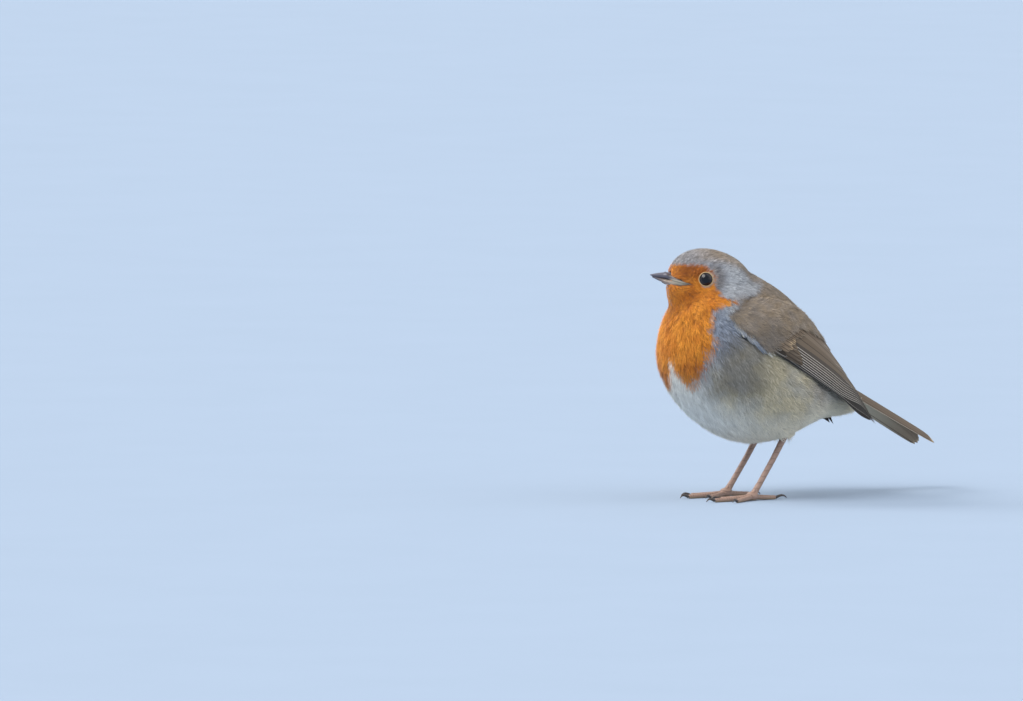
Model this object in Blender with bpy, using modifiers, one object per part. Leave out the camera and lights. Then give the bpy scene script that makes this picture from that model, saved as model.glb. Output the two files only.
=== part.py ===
"""A European robin standing at rest, life size, as a still museum model.

The bird faces -Y, its left side is +X and +Z is up.  Lengths are written in
millimetres and MM turns them into metres.  The body is one soft form, parted
by thin cuts into the nodes that a person would name.
"""

import math

import bmesh
import bpy
from mathutils import Matrix, Vector

MM = 0.001

# ---------------------------------------------------------------- driving sizes
GAP = 0.3  # every piece keeps this distance to its neighbour
CENTRE_Y = 22.0  # middle of the bird's length, which comes to the origin

HEAD_PIVOT = Vector((0.0, -14.4, 80.0))
HEAD_TURN = math.radians(25)  # the head looks to the bird's right

EYE_RADIUS = 3.3
EYE_AHEAD, EYE_ASIDE, EYE_HEIGHT = 3.6, 7.0, -0.6  # from the head's pivot
LID_ASIDE = 8.9  # the shallow dish that the eye looks out of
EYE_DISH_RADIUS = 8.0

TARSUS_RADIUS = 1.05
TOE_RADIUS = 1.0
TOE_TAPER = 0.22
TOE_STEPS = 5
FLAT_DEPTH = 0.12  # what the floor takes off each toe and pad
CLAW_RADIUS, CLAW_TIP_RADIUS, CLAW_TIP_HEIGHT = 0.44, 0.16, 0.32
CLAW_CURVE = math.radians(74)
CLAW_ARCH = 0.75  # how high a claw rises before it comes down
PAD_HEIGHT, PAD_RADII = 1.55, (2.1, 2.5, 1.75)
ANKLE_RADIUS, HEEL_RADIUS = 1.35, 1.25
TOE_START = 2.0  # a toe's length is measured from here, inside the pad
FOOT_CUT_HEIGHT = 3.2  # between foot and tarsus
FOOT_CUT_RADIUS = 5.0  # between foot and toes
THIGH_RADII = (6.5, 6.4, 5.6)  # the feathered swelling round each heel
THIGH_CUT_RADIUS, THIGH_CUT_TOP = 8.0, 7.0  # between thigh and trunk, round each heel

WING_THICKNESS = 1.3
WING_END_ROUNDING = 0.16
WING_SEAT_DEPTH, WING_SEAT_OFFSET = 9.0, 0.58  # how much is taken off the body under a wing
WING_SEAT_SPAN = (-0.012, 1.0, -0.045, 1.045)
FAR_WING_DROOP, FAR_WING_HINGE, FAR_WING_REACH = 2.6, 24.0, 23.0  # the right wing's tip hangs lower
TAIL_ROOT = Vector((0, 38.4, 41.5))
TAIL_LENGTH, TAIL_NOTCH = 48.0, 1.6
TAIL_ROOT_HALF_WIDTH, TAIL_FLARE = 6.2, 1.6
TAIL_TENTS = math.radians(44), math.radians(30)  # its halves slope down like a roof, most at the root
TAIL_RIDGE_RADIUS = 1.4
TAIL_END_ROUNDING = 0.05
TAIL_END_BEND = 0.9  # the right half ends a little lower
TAIL_THICKNESS = 1.1
TAIL_SLOPE = math.radians(28.2)
TAIL_ROLL = math.radians(-5)  # the left edge hangs a little lower

CHEEK_PLACE, CHEEK_RADII = (-0.5, 4.6, -8.5), (6.4, 9.0, 7.0)
SKIN_NET, SKIN_ROUNDS = 0.9, 14  # the net that makes the body one form, and how often it is smoothed
FLESH_TRIANGLES = 1950

# Planes that part the body: a point, and the way to the piece behind.
HEAD_BACK = (Vector((0, -14.0, 73.0)), Vector((0, 0.46, -0.88)))
NECK_BACK = (Vector((0, -12.0, 64.5)), Vector((0, 0.53, -0.85)))
RUMP_FRONT = (Vector((0, 34.0, 40.0)), Vector((0, 0.86, -0.42)))

BILL_LENGTH = 11.0
# Each half of the bill: tip (ahead, up), the root's upper and lower edge, half width,
# and how far the upper and the lower edge bulge half way along.
BILL_HALVES = {
    "bill_upper": ((23.2, 0.8), 1.3, -1.7, 2.6, (0.55, 0.0)),
    "bill_lower": ((22.5, 0.2), -2.0, -3.9, 2.4, (0.0, -0.55)),
}

# Each station of the trunk: back edge (y, z), belly edge (y, z), half width.
TRUNK_STATIONS = (
    (-9.4, 85.6, -26.0, 74.0, 9.0),
    (-3.6, 83.0, -31.3, 66.0, 14.0),
    (3.6, 79.6, -33.8, 57.6, 19.0),
    (11.0, 75.2, -34.0, 49.0, 22.8),
    (18.3, 69.4, -31.2, 40.8, 24.8),
    (24.8, 62.0, -25.4, 33.0, 25.4),
    (29.4, 54.4, -16.8, 26.0, 24.6),
    (33.2, 47.6, -6.6, 21.0, 22.4),
    (37.2, 43.0, 4.0, 19.9, 18.6),
    (41.4, 40.2, 15.0, 22.6, 13.8),
    (45.6, 38.0, 26.8, 26.6, 9.6),
    (49.4, 36.2, 38.0, 27.9, 6.8),
    (53.0, 34.2, 50.0, 28.0, 4.0),
)

# Each station of the head, from the bill backward, in the head's own frame:
# top (ahead, up), bottom (ahead, up), half width.  Ahead and up are from the pivot.
HEAD_STATIONS = (
    (16.6, 1.2, 16.7, -3.6, 3.0),
    (15.4, 4.2, 16.5, -6.8, 5.0),
    (12.4, 7.6, 15.4, -10.6, 6.8),
    (7.6, 9.9, 12.6, -14.0, 8.3),
    (1.4, 10.2, 7.0, -16.5, 9.7),
    (-5.0, 8.4, -1.0, -16.5, 11.4),
    (-10.4, 5.0, -9.0, -12.0, 10.2),
    (-14.0, 0.5, -14.0, -5.0, 5.0),
)

# The folded wing's three rows, wrist to tip: lower edge, middle, upper edge.
WING_LOWER = (
    (19.2, -20.9, 66.8),
    (24.5, -10.6, 57.0),
    (26.2, 3.0, 48.8),
    (25.2, 15.0, 42.2),
    (22.4, 27.0, 35.9),
    (18.8, 38.0, 29.2),
    (14.6, 47.4, 25.2),
)
WING_MIDDLE = (
    (20.4, -16.4, 70.0),
    (24.2, -3.0, 64.0),
    (25.2, 7.5, 58.0),
    (23.0, 19.0, 50.6),
    (18.8, 30.5, 43.0),
    (15.2, 39.8, 35.6),
    (13.2, 48.2, 26.9),
)
WING_UPPER = (
    (17.8, -10.0, 73.6),
    (18.8, 3.0, 71.6),
    (16.4, 14.6, 66.6),
    (11.6, 24.4, 59.0),
    (5.4, 34.4, 51.2),
    (7.0, 41.4, 40.8),
    (11.8, 47.7, 28.9),
)
WING_INSET_ALONG, WING_INSET_ACROSS = 0.0022, 0.007  # half the gap between parts, as shares
# Parts of the wing as shares of its length and width: start and end along, start and end across.
WING_PARTS = {
    "coverts": (0.0, 0.42, 0.0, 1.0),
    "secondaries": (0.42, 0.93, 0.46, 1.0),
    "primaries": (0.42, 1.0, 0.0, 0.46),
}

# Toes of one foot: name, turn outward in degrees, length, claw length.
TOES = (
    ("hind", 180.0, 8.0, 6.4),
    ("inner", -26.0, 9.5, 4.4),
    ("middle", 0.0, 14.2, 4.8),
    ("outer", 29.0, 10.6, 4.4),
)
# Each leg: where it stands, and its heel joint inside the belly's feathers.
LEGS = {
    "left": (1, Vector((10.4, -4.2, 0)), Vector((11.2, 10.6, 24.4))),
    "right": (-1, Vector((-9.4, -1.6, 0)), Vector((-10.0, 14.2, 23.4))),
}

# ---------------------------------------------------------------- helpers


def clear_scene():
    for obj in list(bpy.data.objects):
        bpy.data.objects.remove(obj, do_unlink=True)


def collection(name):
    made = bpy.data.collections.new(name)
    bpy.context.scene.collection.children.link(made)
    return made


def finish(name, colour, roughness):
    material = bpy.data.materials.new(name)
    material.use_nodes = True
    shader = material.node_tree.nodes["Principled BSDF"]
    shader.inputs["Base Color"].default_value = (*colour, 1)
    shader.inputs["Roughness"].default_value = roughness
    shader.inputs["Metallic"].default_value = 0
    return material


def catmull_rom(points, share):
    """The point at this share of a smooth curve through the points, 0 at the first and 1 at the last."""
    place = share * (len(points) - 1)
    i = min(max(int(place), 0), len(points) - 2)
    t = place - i
    b, c = Vector(points[i]), Vector(points[i + 1])
    a = Vector(points[i - 1]) if i > 0 else b * 2 - c
    d = Vector(points[i + 2]) if i + 2 < len(points) else c * 2 - b
    return 0.5 * (2 * b + (c - a) * t + (2 * a - 5 * b + 4 * c - d) * t**2 + (3 * b - a - 3 * c + d) * t**3)


def new_object(name, mesh_maker, home, material=None):
    """An object whose mesh is made by a function of an empty bmesh, in millimetres."""
    bm = bmesh.new()
    mesh_maker(bm)
    bmesh.ops.recalc_face_normals(bm, faces=bm.faces)
    bmesh.ops.transform(bm, matrix=Matrix.Scale(MM, 4), verts=bm.verts)
    mesh = bpy.data.meshes.new(name)
    bm.to_mesh(mesh)
    bm.free()
    obj = bpy.data.objects.new(name, mesh)
    home.objects.link(obj)
    if material:
        mesh.materials.append(material)
    return obj


def copy_of(obj, name, home):
    made = bpy.data.objects.new(name, obj.data.copy())
    home.objects.link(made)
    return made


def apply_modifiers(obj):
    bpy.context.view_layer.update()
    evaluated = obj.evaluated_get(bpy.context.evaluated_depsgraph_get())
    mesh = bpy.data.meshes.new_from_object(evaluated)
    old = obj.data
    obj.modifiers.clear()
    obj.data = mesh
    if old.users == 0:
        bpy.data.meshes.remove(old)


def combine(obj, other, operation):
    """Boolean of the object with another one, applied at once."""
    cut = obj.modifiers.new(operation.title(), "BOOLEAN")
    cut.operation = operation
    cut.object = other
    cut.solver = "EXACT"
    apply_modifiers(obj)


def remove(*objects):
    for obj in objects:
        bpy.data.objects.remove(obj, do_unlink=True)


def loft(stations, place, sides, rings):
    """A closed form through elliptic sections, worked from a sphere's rings.

    place(station, angle) gives the point of a section; the sphere's poles
    become the middles of the first and the last section.
    """

    def make(bm):
        bmesh.ops.create_uvsphere(bm, u_segments=sides, v_segments=rings, radius=1)
        for vert in bm.verts:
            polar = math.acos(max(-1.0, min(1.0, vert.co.z)))
            share = polar / math.pi
            angle = math.atan2(vert.co.y, vert.co.x)
            closing = min(1.0, math.sin(polar) / math.sin(math.pi * 1.5 / rings))
            vert.co = place(catmull_rom(stations, share), angle, closing)

    return make


def tube(bm, points, radii, sides):
    """A tapered round tube through the points, with closed ends."""
    rings = []
    for i, point in enumerate(points):
        ahead = (points[min(i + 1, len(points) - 1)] - points[max(i - 1, 0)]).normalized()
        turn = ahead.to_track_quat("Z", "Y").to_matrix().to_4x4()
        place = Matrix.Translation(point) @ turn
        ring = bmesh.ops.create_circle(bm, segments=sides, radius=radii[i], matrix=place)["verts"]
        rings.append(list({edge for vert in ring for edge in vert.link_edges}))
    for a, b in zip(rings, rings[1:]):
        bmesh.ops.bridge_loops(bm, edges=a + b)
    bmesh.ops.holes_fill(bm, edges=rings[0] + rings[-1], sides=sides)


def layer(low, high, reach=60.0):
    """A flat block between two heights."""

    def make(bm):
        place = Matrix.Translation((0, 0, (low + high) / 2))
        size = Matrix.Diagonal((reach * 2, reach * 2, high - low, 1))
        bmesh.ops.create_cube(bm, size=1, matrix=place @ size)

    return make


def post(foot, radius, height, sides=28):
    """An upright round block whose foot's middle is here."""

    def make(bm):
        place = Matrix.Translation(Vector(foot) + Vector((0, 0, height / 2)))
        bmesh.ops.create_cone(bm, cap_ends=True, segments=sides, radius1=radius, radius2=radius,
                              depth=height, matrix=place)

    return make


def slab(middle, normal, thickness=140.0, reach=90.0):
    """A flat block with its near face on a plane, reaching away along the normal."""

    def make(bm):
        turn = Vector(normal).to_track_quat("Z", "Y").to_matrix().to_4x4()
        place = Matrix.Translation(Vector(middle)) @ turn
        place = place @ Matrix.Translation((0, 0, thickness / 2))
        size = Matrix.Diagonal((reach * 2, reach * 2, thickness, 1))
        bmesh.ops.create_cube(bm, size=1, matrix=place @ size)

    return make


# ---------------------------------------------------------------- the body


def trunk_point(station, angle, closing):
    back_y, back_z, belly_y, belly_z, half_width = station
    middle = Vector((0, (back_y + belly_y) / 2, (back_z + belly_z) / 2))
    up = Vector((0, (back_y - belly_y) / 2, (back_z - belly_z) / 2))
    side = Vector((half_width, 0, 0))
    return middle + closing * (side * math.cos(angle) + up * math.sin(angle))


def in_head(ahead, aside, up):
    """A place in the turned head, from its pivot, as a place in the bird."""
    turned = Matrix.Rotation(-HEAD_TURN, 3, "Z") @ Vector((aside, -ahead, up))
    return HEAD_PIVOT + turned


def head_point(station, angle, closing):
    top_a, top_u, low_a, low_u, half_width = station
    ahead = (top_a + low_a) / 2 + closing * math.sin(angle) * (top_a - low_a) / 2
    up = (top_u + low_u) / 2 + closing * math.sin(angle) * (top_u - low_u) / 2
    return in_head(ahead, closing * half_width * math.cos(angle), up)


def ball(middle, radii, turn=0.0, sides=15):
    def make(bm):
        place = Matrix.Translation(middle) @ Matrix.Rotation(-turn, 4, "Z") @ Matrix.Diagonal((*radii, 1))
        bmesh.ops.create_uvsphere(bm, u_segments=sides, v_segments=sides * 2 // 3, radius=1, matrix=place)

    return make


def make_flesh(home):
    """Head, neck, trunk and thighs as one soft closed form."""
    flesh = new_object("flesh", loft(TRUNK_STATIONS, trunk_point, 40, 40), home)
    forms = [
        new_object("head_form", loft(HEAD_STATIONS, head_point, 32, 28), home),
    ]
    ahead, aside, up = CHEEK_PLACE
    for side, _, heel in LEGS.values():
        cheek = ball(in_head(ahead, side * aside, up), CHEEK_RADII, HEAD_TURN)
        forms.append(new_object("cheek_form", cheek, home))
        forms.append(new_object("thigh_form", ball(heel + Vector((0, -2.5, 2.6)), THIGH_RADII), home))
    for form in forms:
        combine(flesh, form, "UNION")
    remove(*forms)
    for side in (1, -1):
        middle = in_head(EYE_AHEAD, side * (LID_ASIDE + EYE_DISH_RADIUS), EYE_HEIGHT)
        dish = new_object("eye_dish", ball(middle, (EYE_DISH_RADIUS,) * 3, sides=30), home)
        combine(flesh, dish, "DIFFERENCE")
        remove(dish)
    skin = flesh.modifiers.new("Remesh", "REMESH")
    skin.mode = "VOXEL"
    skin.voxel_size = SKIN_NET * MM
    soften = flesh.modifiers.new("Smooth", "SMOOTH")
    soften.factor = 0.5
    soften.iterations = SKIN_ROUNDS
    apply_modifiers(flesh)
    thin = flesh.modifiers.new("Decimate", "DECIMATE")
    thin.ratio = FLESH_TRIANGLES / (2 * len(flesh.data.polygons))
    thin.use_collapse_triangulate = True
    apply_modifiers(flesh)
    return flesh


# ---------------------------------------------------------------- wings and tail


def wing_point(along, across):
    """A place on the left wing's outer face."""
    low = catmull_rom(WING_LOWER, along)
    middle = catmull_rom(WING_MIDDLE, along)
    high = catmull_rom(WING_UPPER, along)
    a, b, c = (across - 0.5) * (across - 1) * 2, across * (1 - across) * 4, across * (across - 0.5) * 2
    return low * a + middle * b + high * c


def sheet(point, columns, rows, span):
    """An open grid shaped by a function of two shares; span is their range."""
    start_u, end_u, start_v, end_v = span

    def make(bm):
        bmesh.ops.create_grid(bm, x_segments=columns, y_segments=rows, size=0.5)
        for vert in bm.verts:
            u = start_u + (vert.co.x + 0.5) * (end_u - start_u)
            v = start_v + (vert.co.y + 0.5) * (end_v - start_v)
            vert.co = point(u, v)

    return make


def solidify(obj, thickness, offset):
    shell = obj.modifiers.new("Solidify", "SOLIDIFY")
    shell.thickness = thickness * MM
    shell.offset = offset
    shell.use_even_offset = False
    apply_modifiers(obj)


def far_wing(obj, name, home):
    """A copy of a piece of the left wing on the right side, where the tip hangs a little lower."""
    made = copy_of(obj, name, home)
    bm = bmesh.new()
    bm.from_mesh(made.data)
    bmesh.ops.transform(bm, matrix=Matrix.Diagonal((-1, 1, 1, 1)), verts=bm.verts)
    for vert in bm.verts:
        share = max(vert.co.y / MM - FAR_WING_HINGE, 0) / FAR_WING_REACH
        vert.co.z -= FAR_WING_DROOP * share**2 * MM
    bmesh.ops.reverse_faces(bm, faces=bm.faces)
    bm.to_mesh(made.data)
    bm.free()
    return made


def rounded_span(point, span, rounding):
    """The same surface with the far end of its range rounded off."""
    start_u, end_u, start_v, end_v = span

    def shaped(u, v):
        middle = (start_v + end_v) / 2
        off = abs(v - middle) / (end_v - start_v) * 2
        reach = (u - start_u) / (end_u - start_u)
        return point(u - rounding * off**3 * reach**4 * (end_u - start_u), v)

    return shaped


def make_wings(home):
    """Each folded wing as three thin shells, and the cutter of its seat in the body."""
    seat = new_object("wing_seat", sheet(wing_point, 12, 6, WING_SEAT_SPAN), home)
    solidify(seat, WING_SEAT_DEPTH, WING_SEAT_OFFSET)
    wings = {}
    for part, (start_u, end_u, start_v, end_v) in WING_PARTS.items():
        span = (
            start_u + (WING_INSET_ALONG if start_u > 0 else 0),
            end_u - (WING_INSET_ALONG if end_u < 1 else 0),
            start_v + (WING_INSET_ACROSS if start_v > 0 else 0),
            end_v - (WING_INSET_ACROSS if end_v < 1 else 0),
        )
        rounding = 0.0 if part == "coverts" else WING_END_ROUNDING
        face = sheet(rounded_span(wing_point, span, rounding), 8, 4, span)
        shell = new_object("wing_form_" + part, face, home)
        solidify(shell, WING_THICKNESS, -1)
        wings[part] = shell
    return seat, wings


def tail_point(along, across):
    """A place on the closed tail's upper face, root to tip and right to left."""
    off_middle = across * 2 - 1
    aside = off_middle * (TAIL_ROOT_HALF_WIDTH + TAIL_FLARE * along)
    tent = TAIL_TENTS[0] + (TAIL_TENTS[1] - TAIL_TENTS[0]) * along
    drop = math.sin(tent) * (math.hypot(aside, TAIL_RIDGE_RADIUS) - TAIL_RIDGE_RADIUS)
    drop += TAIL_END_BEND * along**3 * max(-off_middle, 0)
    length = TAIL_LENGTH - TAIL_NOTCH * (1 - abs(off_middle)) * along
    back = Vector((0, math.cos(TAIL_SLOPE), -math.sin(TAIL_SLOPE)))
    up = Vector((0, math.sin(TAIL_SLOPE), math.cos(TAIL_SLOPE)))
    sideways = Vector((math.cos(TAIL_ROLL), 0, 0)) + up * math.sin(TAIL_ROLL)
    return TAIL_ROOT + back * length * along - up * drop + sideways * aside * math.cos(tent)


def make_tail(home, cutters, vane):
    """The closed tail in three, and the cutter of its seat in the rump."""
    thirds = (("right", 0.0, 0.318), ("centre", 0.342, 0.658), ("left", 0.682, 1.0))
    seat = new_object("tail_seat", sheet(tail_point, 8, 8, (-0.02, 1.0, -0.04, 1.04)), cutters)
    solidify(seat, TAIL_THICKNESS + 2 * GAP, 0)
    for name, start, end in thirds:
        span = (0.0, 1.0, start, end)
        face = sheet(rounded_span(tail_point, span, TAIL_END_ROUNDING), 8, 3, span)
        solidify(new_object("tail_" + name, face, home, vane), TAIL_THICKNESS, 0)
    return seat


# ---------------------------------------------------------------- bill and eyes


def bill_half(tip, root_up, root_low, half_width, bulge):
    """One half of the bill: a tapering form between the gape line and its ridge."""
    tip_ahead, tip_up = tip

    def make(bm):
        bmesh.ops.create_uvsphere(bm, u_segments=12, v_segments=8, radius=1)
        for vert in bm.verts:
            share = (1 - vert.co.x) / 2  # 0 at the tip, 1 at the root
            width = half_width * share**0.72
            swell = math.sin(math.pi * share)
            top = tip_up + (root_up - tip_up) * share + bulge[0] * swell
            low = tip_up + (root_low - tip_up) * share + bulge[1] * swell
            pole = abs(vert.co.x) > 0.999
            near_end = abs(vert.co.x) > 0.86
            opening = 0 if pole else math.sqrt(1 - vert.co.x**2) if near_end else 1
            angle = math.atan2(vert.co.z, vert.co.y)
            vert.co = in_head(
                tip_ahead - share * BILL_LENGTH,
                opening * width * math.cos(angle),
                (top + low) / 2 + opening * (top - low) / 2 * math.sin(angle),
            )

    return make


def make_bill(home, horn):
    return [new_object(name, bill_half(*shape), home, horn) for name, shape in BILL_HALVES.items()]


def grown(obj, name, home, by=GAP):
    """A copy swollen by the gap, to cut a seat with."""
    made = copy_of(obj, name, home)
    swell = made.modifiers.new("Swell", "DISPLACE")
    swell.strength = by * MM
    swell.mid_level = 0
    apply_modifiers(made)
    return made


def make_eyes(home, wet):
    eyes = []
    for name, side in (("eye_left", 1), ("eye_right", -1)):
        middle = in_head(EYE_AHEAD, side * EYE_ASIDE, EYE_HEIGHT)
        eyes.append(new_object(name, ball(middle, (EYE_RADIUS,) * 3), home, wet))
    return eyes


# ---------------------------------------------------------------- legs and feet


def toe_line(foot, turn, side, length):
    """A toe's direction, middle line and radii, from the foot's pad down to the floor."""
    out = Vector((math.sin(math.radians(turn)) * side, -math.cos(math.radians(turn)), 0))
    points, radii = [], []
    for step in range(TOE_STEPS + 1):
        share = step / TOE_STEPS
        radius = TOE_RADIUS * (1 - TOE_TAPER * share)
        lift = 0.5 * (1 - share) ** 2
        radii.append(radius)
        points.append(foot + out * (length * share) + Vector((0, 0, radius - FLAT_DEPTH + lift)))
    return out, points, radii


def claw_line(start, out, length):
    """A claw's middle line and radii: up, over and down to just above the floor."""
    points, radii = [], []
    for step in range(TOE_STEPS + 1):
        share = step / TOE_STEPS
        ahead = length * math.sin(share * CLAW_CURVE) / CLAW_CURVE
        height = CLAW_ARCH * math.sin(math.pi * share) + (CLAW_TIP_HEIGHT - start.z) * share**2
        points.append(start + out * ahead + Vector((0, 0, height)))
        radii.append(CLAW_RADIUS * (1 - share) + CLAW_TIP_RADIUS)
    return points, radii


def make_leg(name, home, legs, skin, horn):
    """Tarsus, foot, toes and claws of one leg; it returns the cutter of its seat in the thigh."""
    side, pad, heel = LEGS[name]
    whole = new_object("leg_form", ball(pad + Vector((0, 0, PAD_HEIGHT)), PAD_RADII, sides=12), home)
    shin = [pad + Vector((0, 0.2, 1.7)), pad.lerp(heel, 0.2) + Vector((0, 0, 0.9)), pad.lerp(heel, 0.6), heel]
    shin_radii = (ANKLE_RADIUS, TARSUS_RADIUS, TARSUS_RADIUS, HEEL_RADIUS)
    shin_form = new_object("shin_form", lambda bm: tube(bm, shin, shin_radii, 9), home)
    combine(whole, shin_form, "UNION")
    below = pad + Vector((0, 0, -8))
    below_floor = new_object("below_floor", layer(-9, 0), home)
    inside = new_object("inside_cut", post(below, FOOT_CUT_RADIUS - GAP / 2, 16), home)
    outside = new_object("outside_cut", post(below, FOOT_CUT_RADIUS + GAP / 2, 16), home)
    for toe_name, turn, length, claw_length in TOES:
        out, route, radii = toe_line(pad, turn, side, length + TOE_START)
        toe = new_object(f"toe_{name}_{toe_name}", lambda bm: tube(bm, route, radii, 8), legs, skin)
        combine(whole, toe, "UNION")
        combine(toe, outside, "DIFFERENCE")
        combine(toe, below_floor, "DIFFERENCE")
        claw_route, claw_radii = claw_line(route[-1] + out * GAP, out, claw_length)
        new_object(f"claw_{name}_{toe_name}", lambda bm: tube(bm, claw_route, claw_radii, 6), legs, horn)
    combine(whole, below_floor, "DIFFERENCE")
    foot_layer = new_object("foot_layer", layer(-9, FOOT_CUT_HEIGHT - GAP / 2), home)
    shank_layer = new_object("shank_layer", layer(FOOT_CUT_HEIGHT + GAP / 2, 90), home)
    foot = copy_of(whole, "foot_" + name, legs)
    combine(foot, foot_layer, "INTERSECT")
    combine(foot, inside, "INTERSECT")
    tarsus = copy_of(whole, "tarsus_" + name, legs)
    combine(tarsus, shank_layer, "INTERSECT")
    for piece in (foot, tarsus):
        piece.data.materials.clear()
        piece.data.materials.append(skin)
    remove(whole, shin_form, below_floor, inside, outside, foot_layer, shank_layer)
    seat_end = heel + (heel - shin[2]).normalized() * GAP
    seat_radii = (TARSUS_RADIUS + GAP * 1.3, HEEL_RADIUS + GAP * 1.3)
    return new_object("tarsus_seat", lambda bm: tube(bm, [shin[2], seat_end], seat_radii, 12), home)


# ---------------------------------------------------------------- parting the body


def part_flesh(flesh, home, cutters, plumage):
    """Head, neck, trunk, rump and thighs, each a node, from the one soft form."""
    cuts = {}
    for name, (middle, way) in (("head", HEAD_BACK), ("neck", NECK_BACK), ("rump", RUMP_FRONT)):
        away = way.normalized()
        cuts[name] = (
            new_object(name + "_beyond", slab(middle + away * GAP / 2, away), cutters),
            new_object(name + "_before", slab(middle - away * GAP / 2, -away), cutters),
        )
    nodes = {name: copy_of(flesh, name, home) for name in ("head", "neck", "trunk", "rump")}
    combine(nodes["head"], cuts["head"][1], "INTERSECT")
    combine(nodes["neck"], cuts["head"][0], "INTERSECT")
    combine(nodes["neck"], cuts["neck"][1], "INTERSECT")
    combine(nodes["trunk"], cuts["neck"][0], "INTERSECT")
    combine(nodes["trunk"], cuts["rump"][1], "INTERSECT")
    combine(nodes["rump"], cuts["rump"][0], "INTERSECT")
    for name, (_, _, heel) in LEGS.items():
        below = heel + Vector((0, 0, -11.0))
        top = THIGH_CUT_TOP + 11.0
        inside = new_object("thigh_inside", post(below, THIGH_CUT_RADIUS - GAP / 2, top, 24), cutters)
        outside = new_object("thigh_outside", post(below, THIGH_CUT_RADIUS + GAP / 2, top + GAP, 24), cutters)
        thigh = copy_of(flesh, "thigh_" + name, home)
        combine(thigh, inside, "INTERSECT")
        combine(nodes["trunk"], outside, "DIFFERENCE")
        nodes["thigh_" + name] = thigh
    for node in nodes.values():
        node.data.materials.clear()
        node.data.materials.append(plumage)
    return nodes


def main():
    clear_scene()
    bird = collection("robin")
    cutters = collection("cutters")
    plumage = finish("plumage", (0.42, 0.36, 0.28), 0.85)
    vane = finish("wing_feathers", (0.16, 0.12, 0.085), 0.7)
    horn = finish("horn", (0.07, 0.055, 0.05), 0.4)
    leg_skin = finish("leg_skin", (0.23, 0.12, 0.07), 0.6)
    wet = finish("eye", (0.012, 0.009, 0.008), 0.05)

    flesh = make_flesh(cutters)
    nodes = part_flesh(flesh, bird, cutters, plumage)
    wing_seat, wings = make_wings(cutters)
    right_seat = far_wing(wing_seat, "wing_seat_right", cutters)
    for name in ("neck", "trunk", "rump"):
        for seat in (wing_seat, right_seat):
            combine(nodes[name], seat, "DIFFERENCE")
    for part, shell in wings.items():
        shell.data.materials.append(vane)
        copy_of(shell, "wing_left_" + part, bird)
        far_wing(shell, "wing_right_" + part, bird)
    tail_seat = make_tail(bird, cutters, vane)
    combine(nodes["rump"], tail_seat, "DIFFERENCE")
    for piece in make_bill(bird, horn):
        seat = grown(piece, piece.name + "_seat", cutters)
        combine(nodes["head"], seat, "DIFFERENCE")
    for eye in make_eyes(bird, wet):
        seat = grown(eye, eye.name + "_seat", cutters)
        combine(nodes["head"], seat, "DIFFERENCE")
    for name in LEGS:
        seat = make_leg(name, cutters, bird, leg_skin, horn)
        combine(nodes["thigh_" + name], seat, "DIFFERENCE")
        combine(nodes["trunk"], seat, "DIFFERENCE")

    for obj in list(cutters.objects):
        remove(obj)
    for obj in bird.objects:
        obj.data.transform(Matrix.Translation((0, -CENTRE_Y * MM, 0)))
        obj.data.shade_smooth()


main()
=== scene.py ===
# %% [markdown]
# # A robin, feather by feather
# The bird stands life size on a pale floor, turned a little from us, its head turned back to its right.
# The solids of the part give the outline and the pose. This lesson gives them their looks: one skin under
# the plumage, thousands of small feathers that lie along the body, long feathers on wings and tail, a
# glossy eye with its lids, a horn bill, and scaly legs. First the fixed frame is loaded: every measure
# below is in the same place as the solid it belongs to.

# %% The frame
import math

import bpy
import numpy as np
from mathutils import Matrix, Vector
from mathutils.bvhtree import BVHTree
from mathutils.kdtree import KDTree


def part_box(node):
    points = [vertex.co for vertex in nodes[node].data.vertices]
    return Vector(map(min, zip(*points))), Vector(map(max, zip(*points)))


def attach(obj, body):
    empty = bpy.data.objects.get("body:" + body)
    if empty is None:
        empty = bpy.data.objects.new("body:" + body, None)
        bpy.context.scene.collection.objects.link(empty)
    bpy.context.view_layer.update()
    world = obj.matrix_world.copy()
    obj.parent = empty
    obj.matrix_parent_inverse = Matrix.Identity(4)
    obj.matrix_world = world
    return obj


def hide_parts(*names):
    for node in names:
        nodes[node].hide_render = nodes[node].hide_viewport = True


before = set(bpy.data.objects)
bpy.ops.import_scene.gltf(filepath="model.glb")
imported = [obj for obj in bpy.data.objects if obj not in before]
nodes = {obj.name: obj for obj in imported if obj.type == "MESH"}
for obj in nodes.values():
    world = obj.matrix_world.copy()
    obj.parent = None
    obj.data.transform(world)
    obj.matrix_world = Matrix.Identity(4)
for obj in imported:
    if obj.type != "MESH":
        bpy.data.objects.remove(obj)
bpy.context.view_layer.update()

MM = 0.001
MIDDLE_Y = 22.0  # where the bird's middle is drawn, which stands at the frame's origin
SIDES = ("left", "right")

# %% [markdown]
# Two small helpers carry points between the millimetres the bird is drawn in and the metres of the frame,
# and a soft step does for every edge that fades.

# %% Millimetres, metres and a soft step
def to_frame(points):
    return (np.asarray(points, float) - (0, MIDDLE_Y, 0)) * MM


def to_bird(points):
    return np.asarray(points, float) / MM + (0, MIDDLE_Y, 0)


def ramp(low, high, x):
    """0 below low, 1 above high, and smooth between; low may be the larger one."""
    t = np.clip((x - low) / (high - low), 0, 1)
    return t * t * (3 - 2 * t)


def unit(vectors):
    return vectors / np.maximum(np.linalg.norm(vectors, axis=-1, keepdims=True), 1e-9)


print("a soft step from 0 to 10, at 5:", float(ramp(0, 10, 5)))

# %% [markdown]
# The head looks to the bird's right, and feathers and markings turn with it. It is easier to draw both on
# a bird that looks straight ahead, so each point is first turned back by the turn the neck has there.

# %% The bird set straight
HEAD_PIVOT = (0.0, -14.4, 80.0)
HEAD_TURN = math.radians(25)
NECK_LOW, NECK_HIGH = 60.0, 76.0  # the neck twists between these heights


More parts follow.
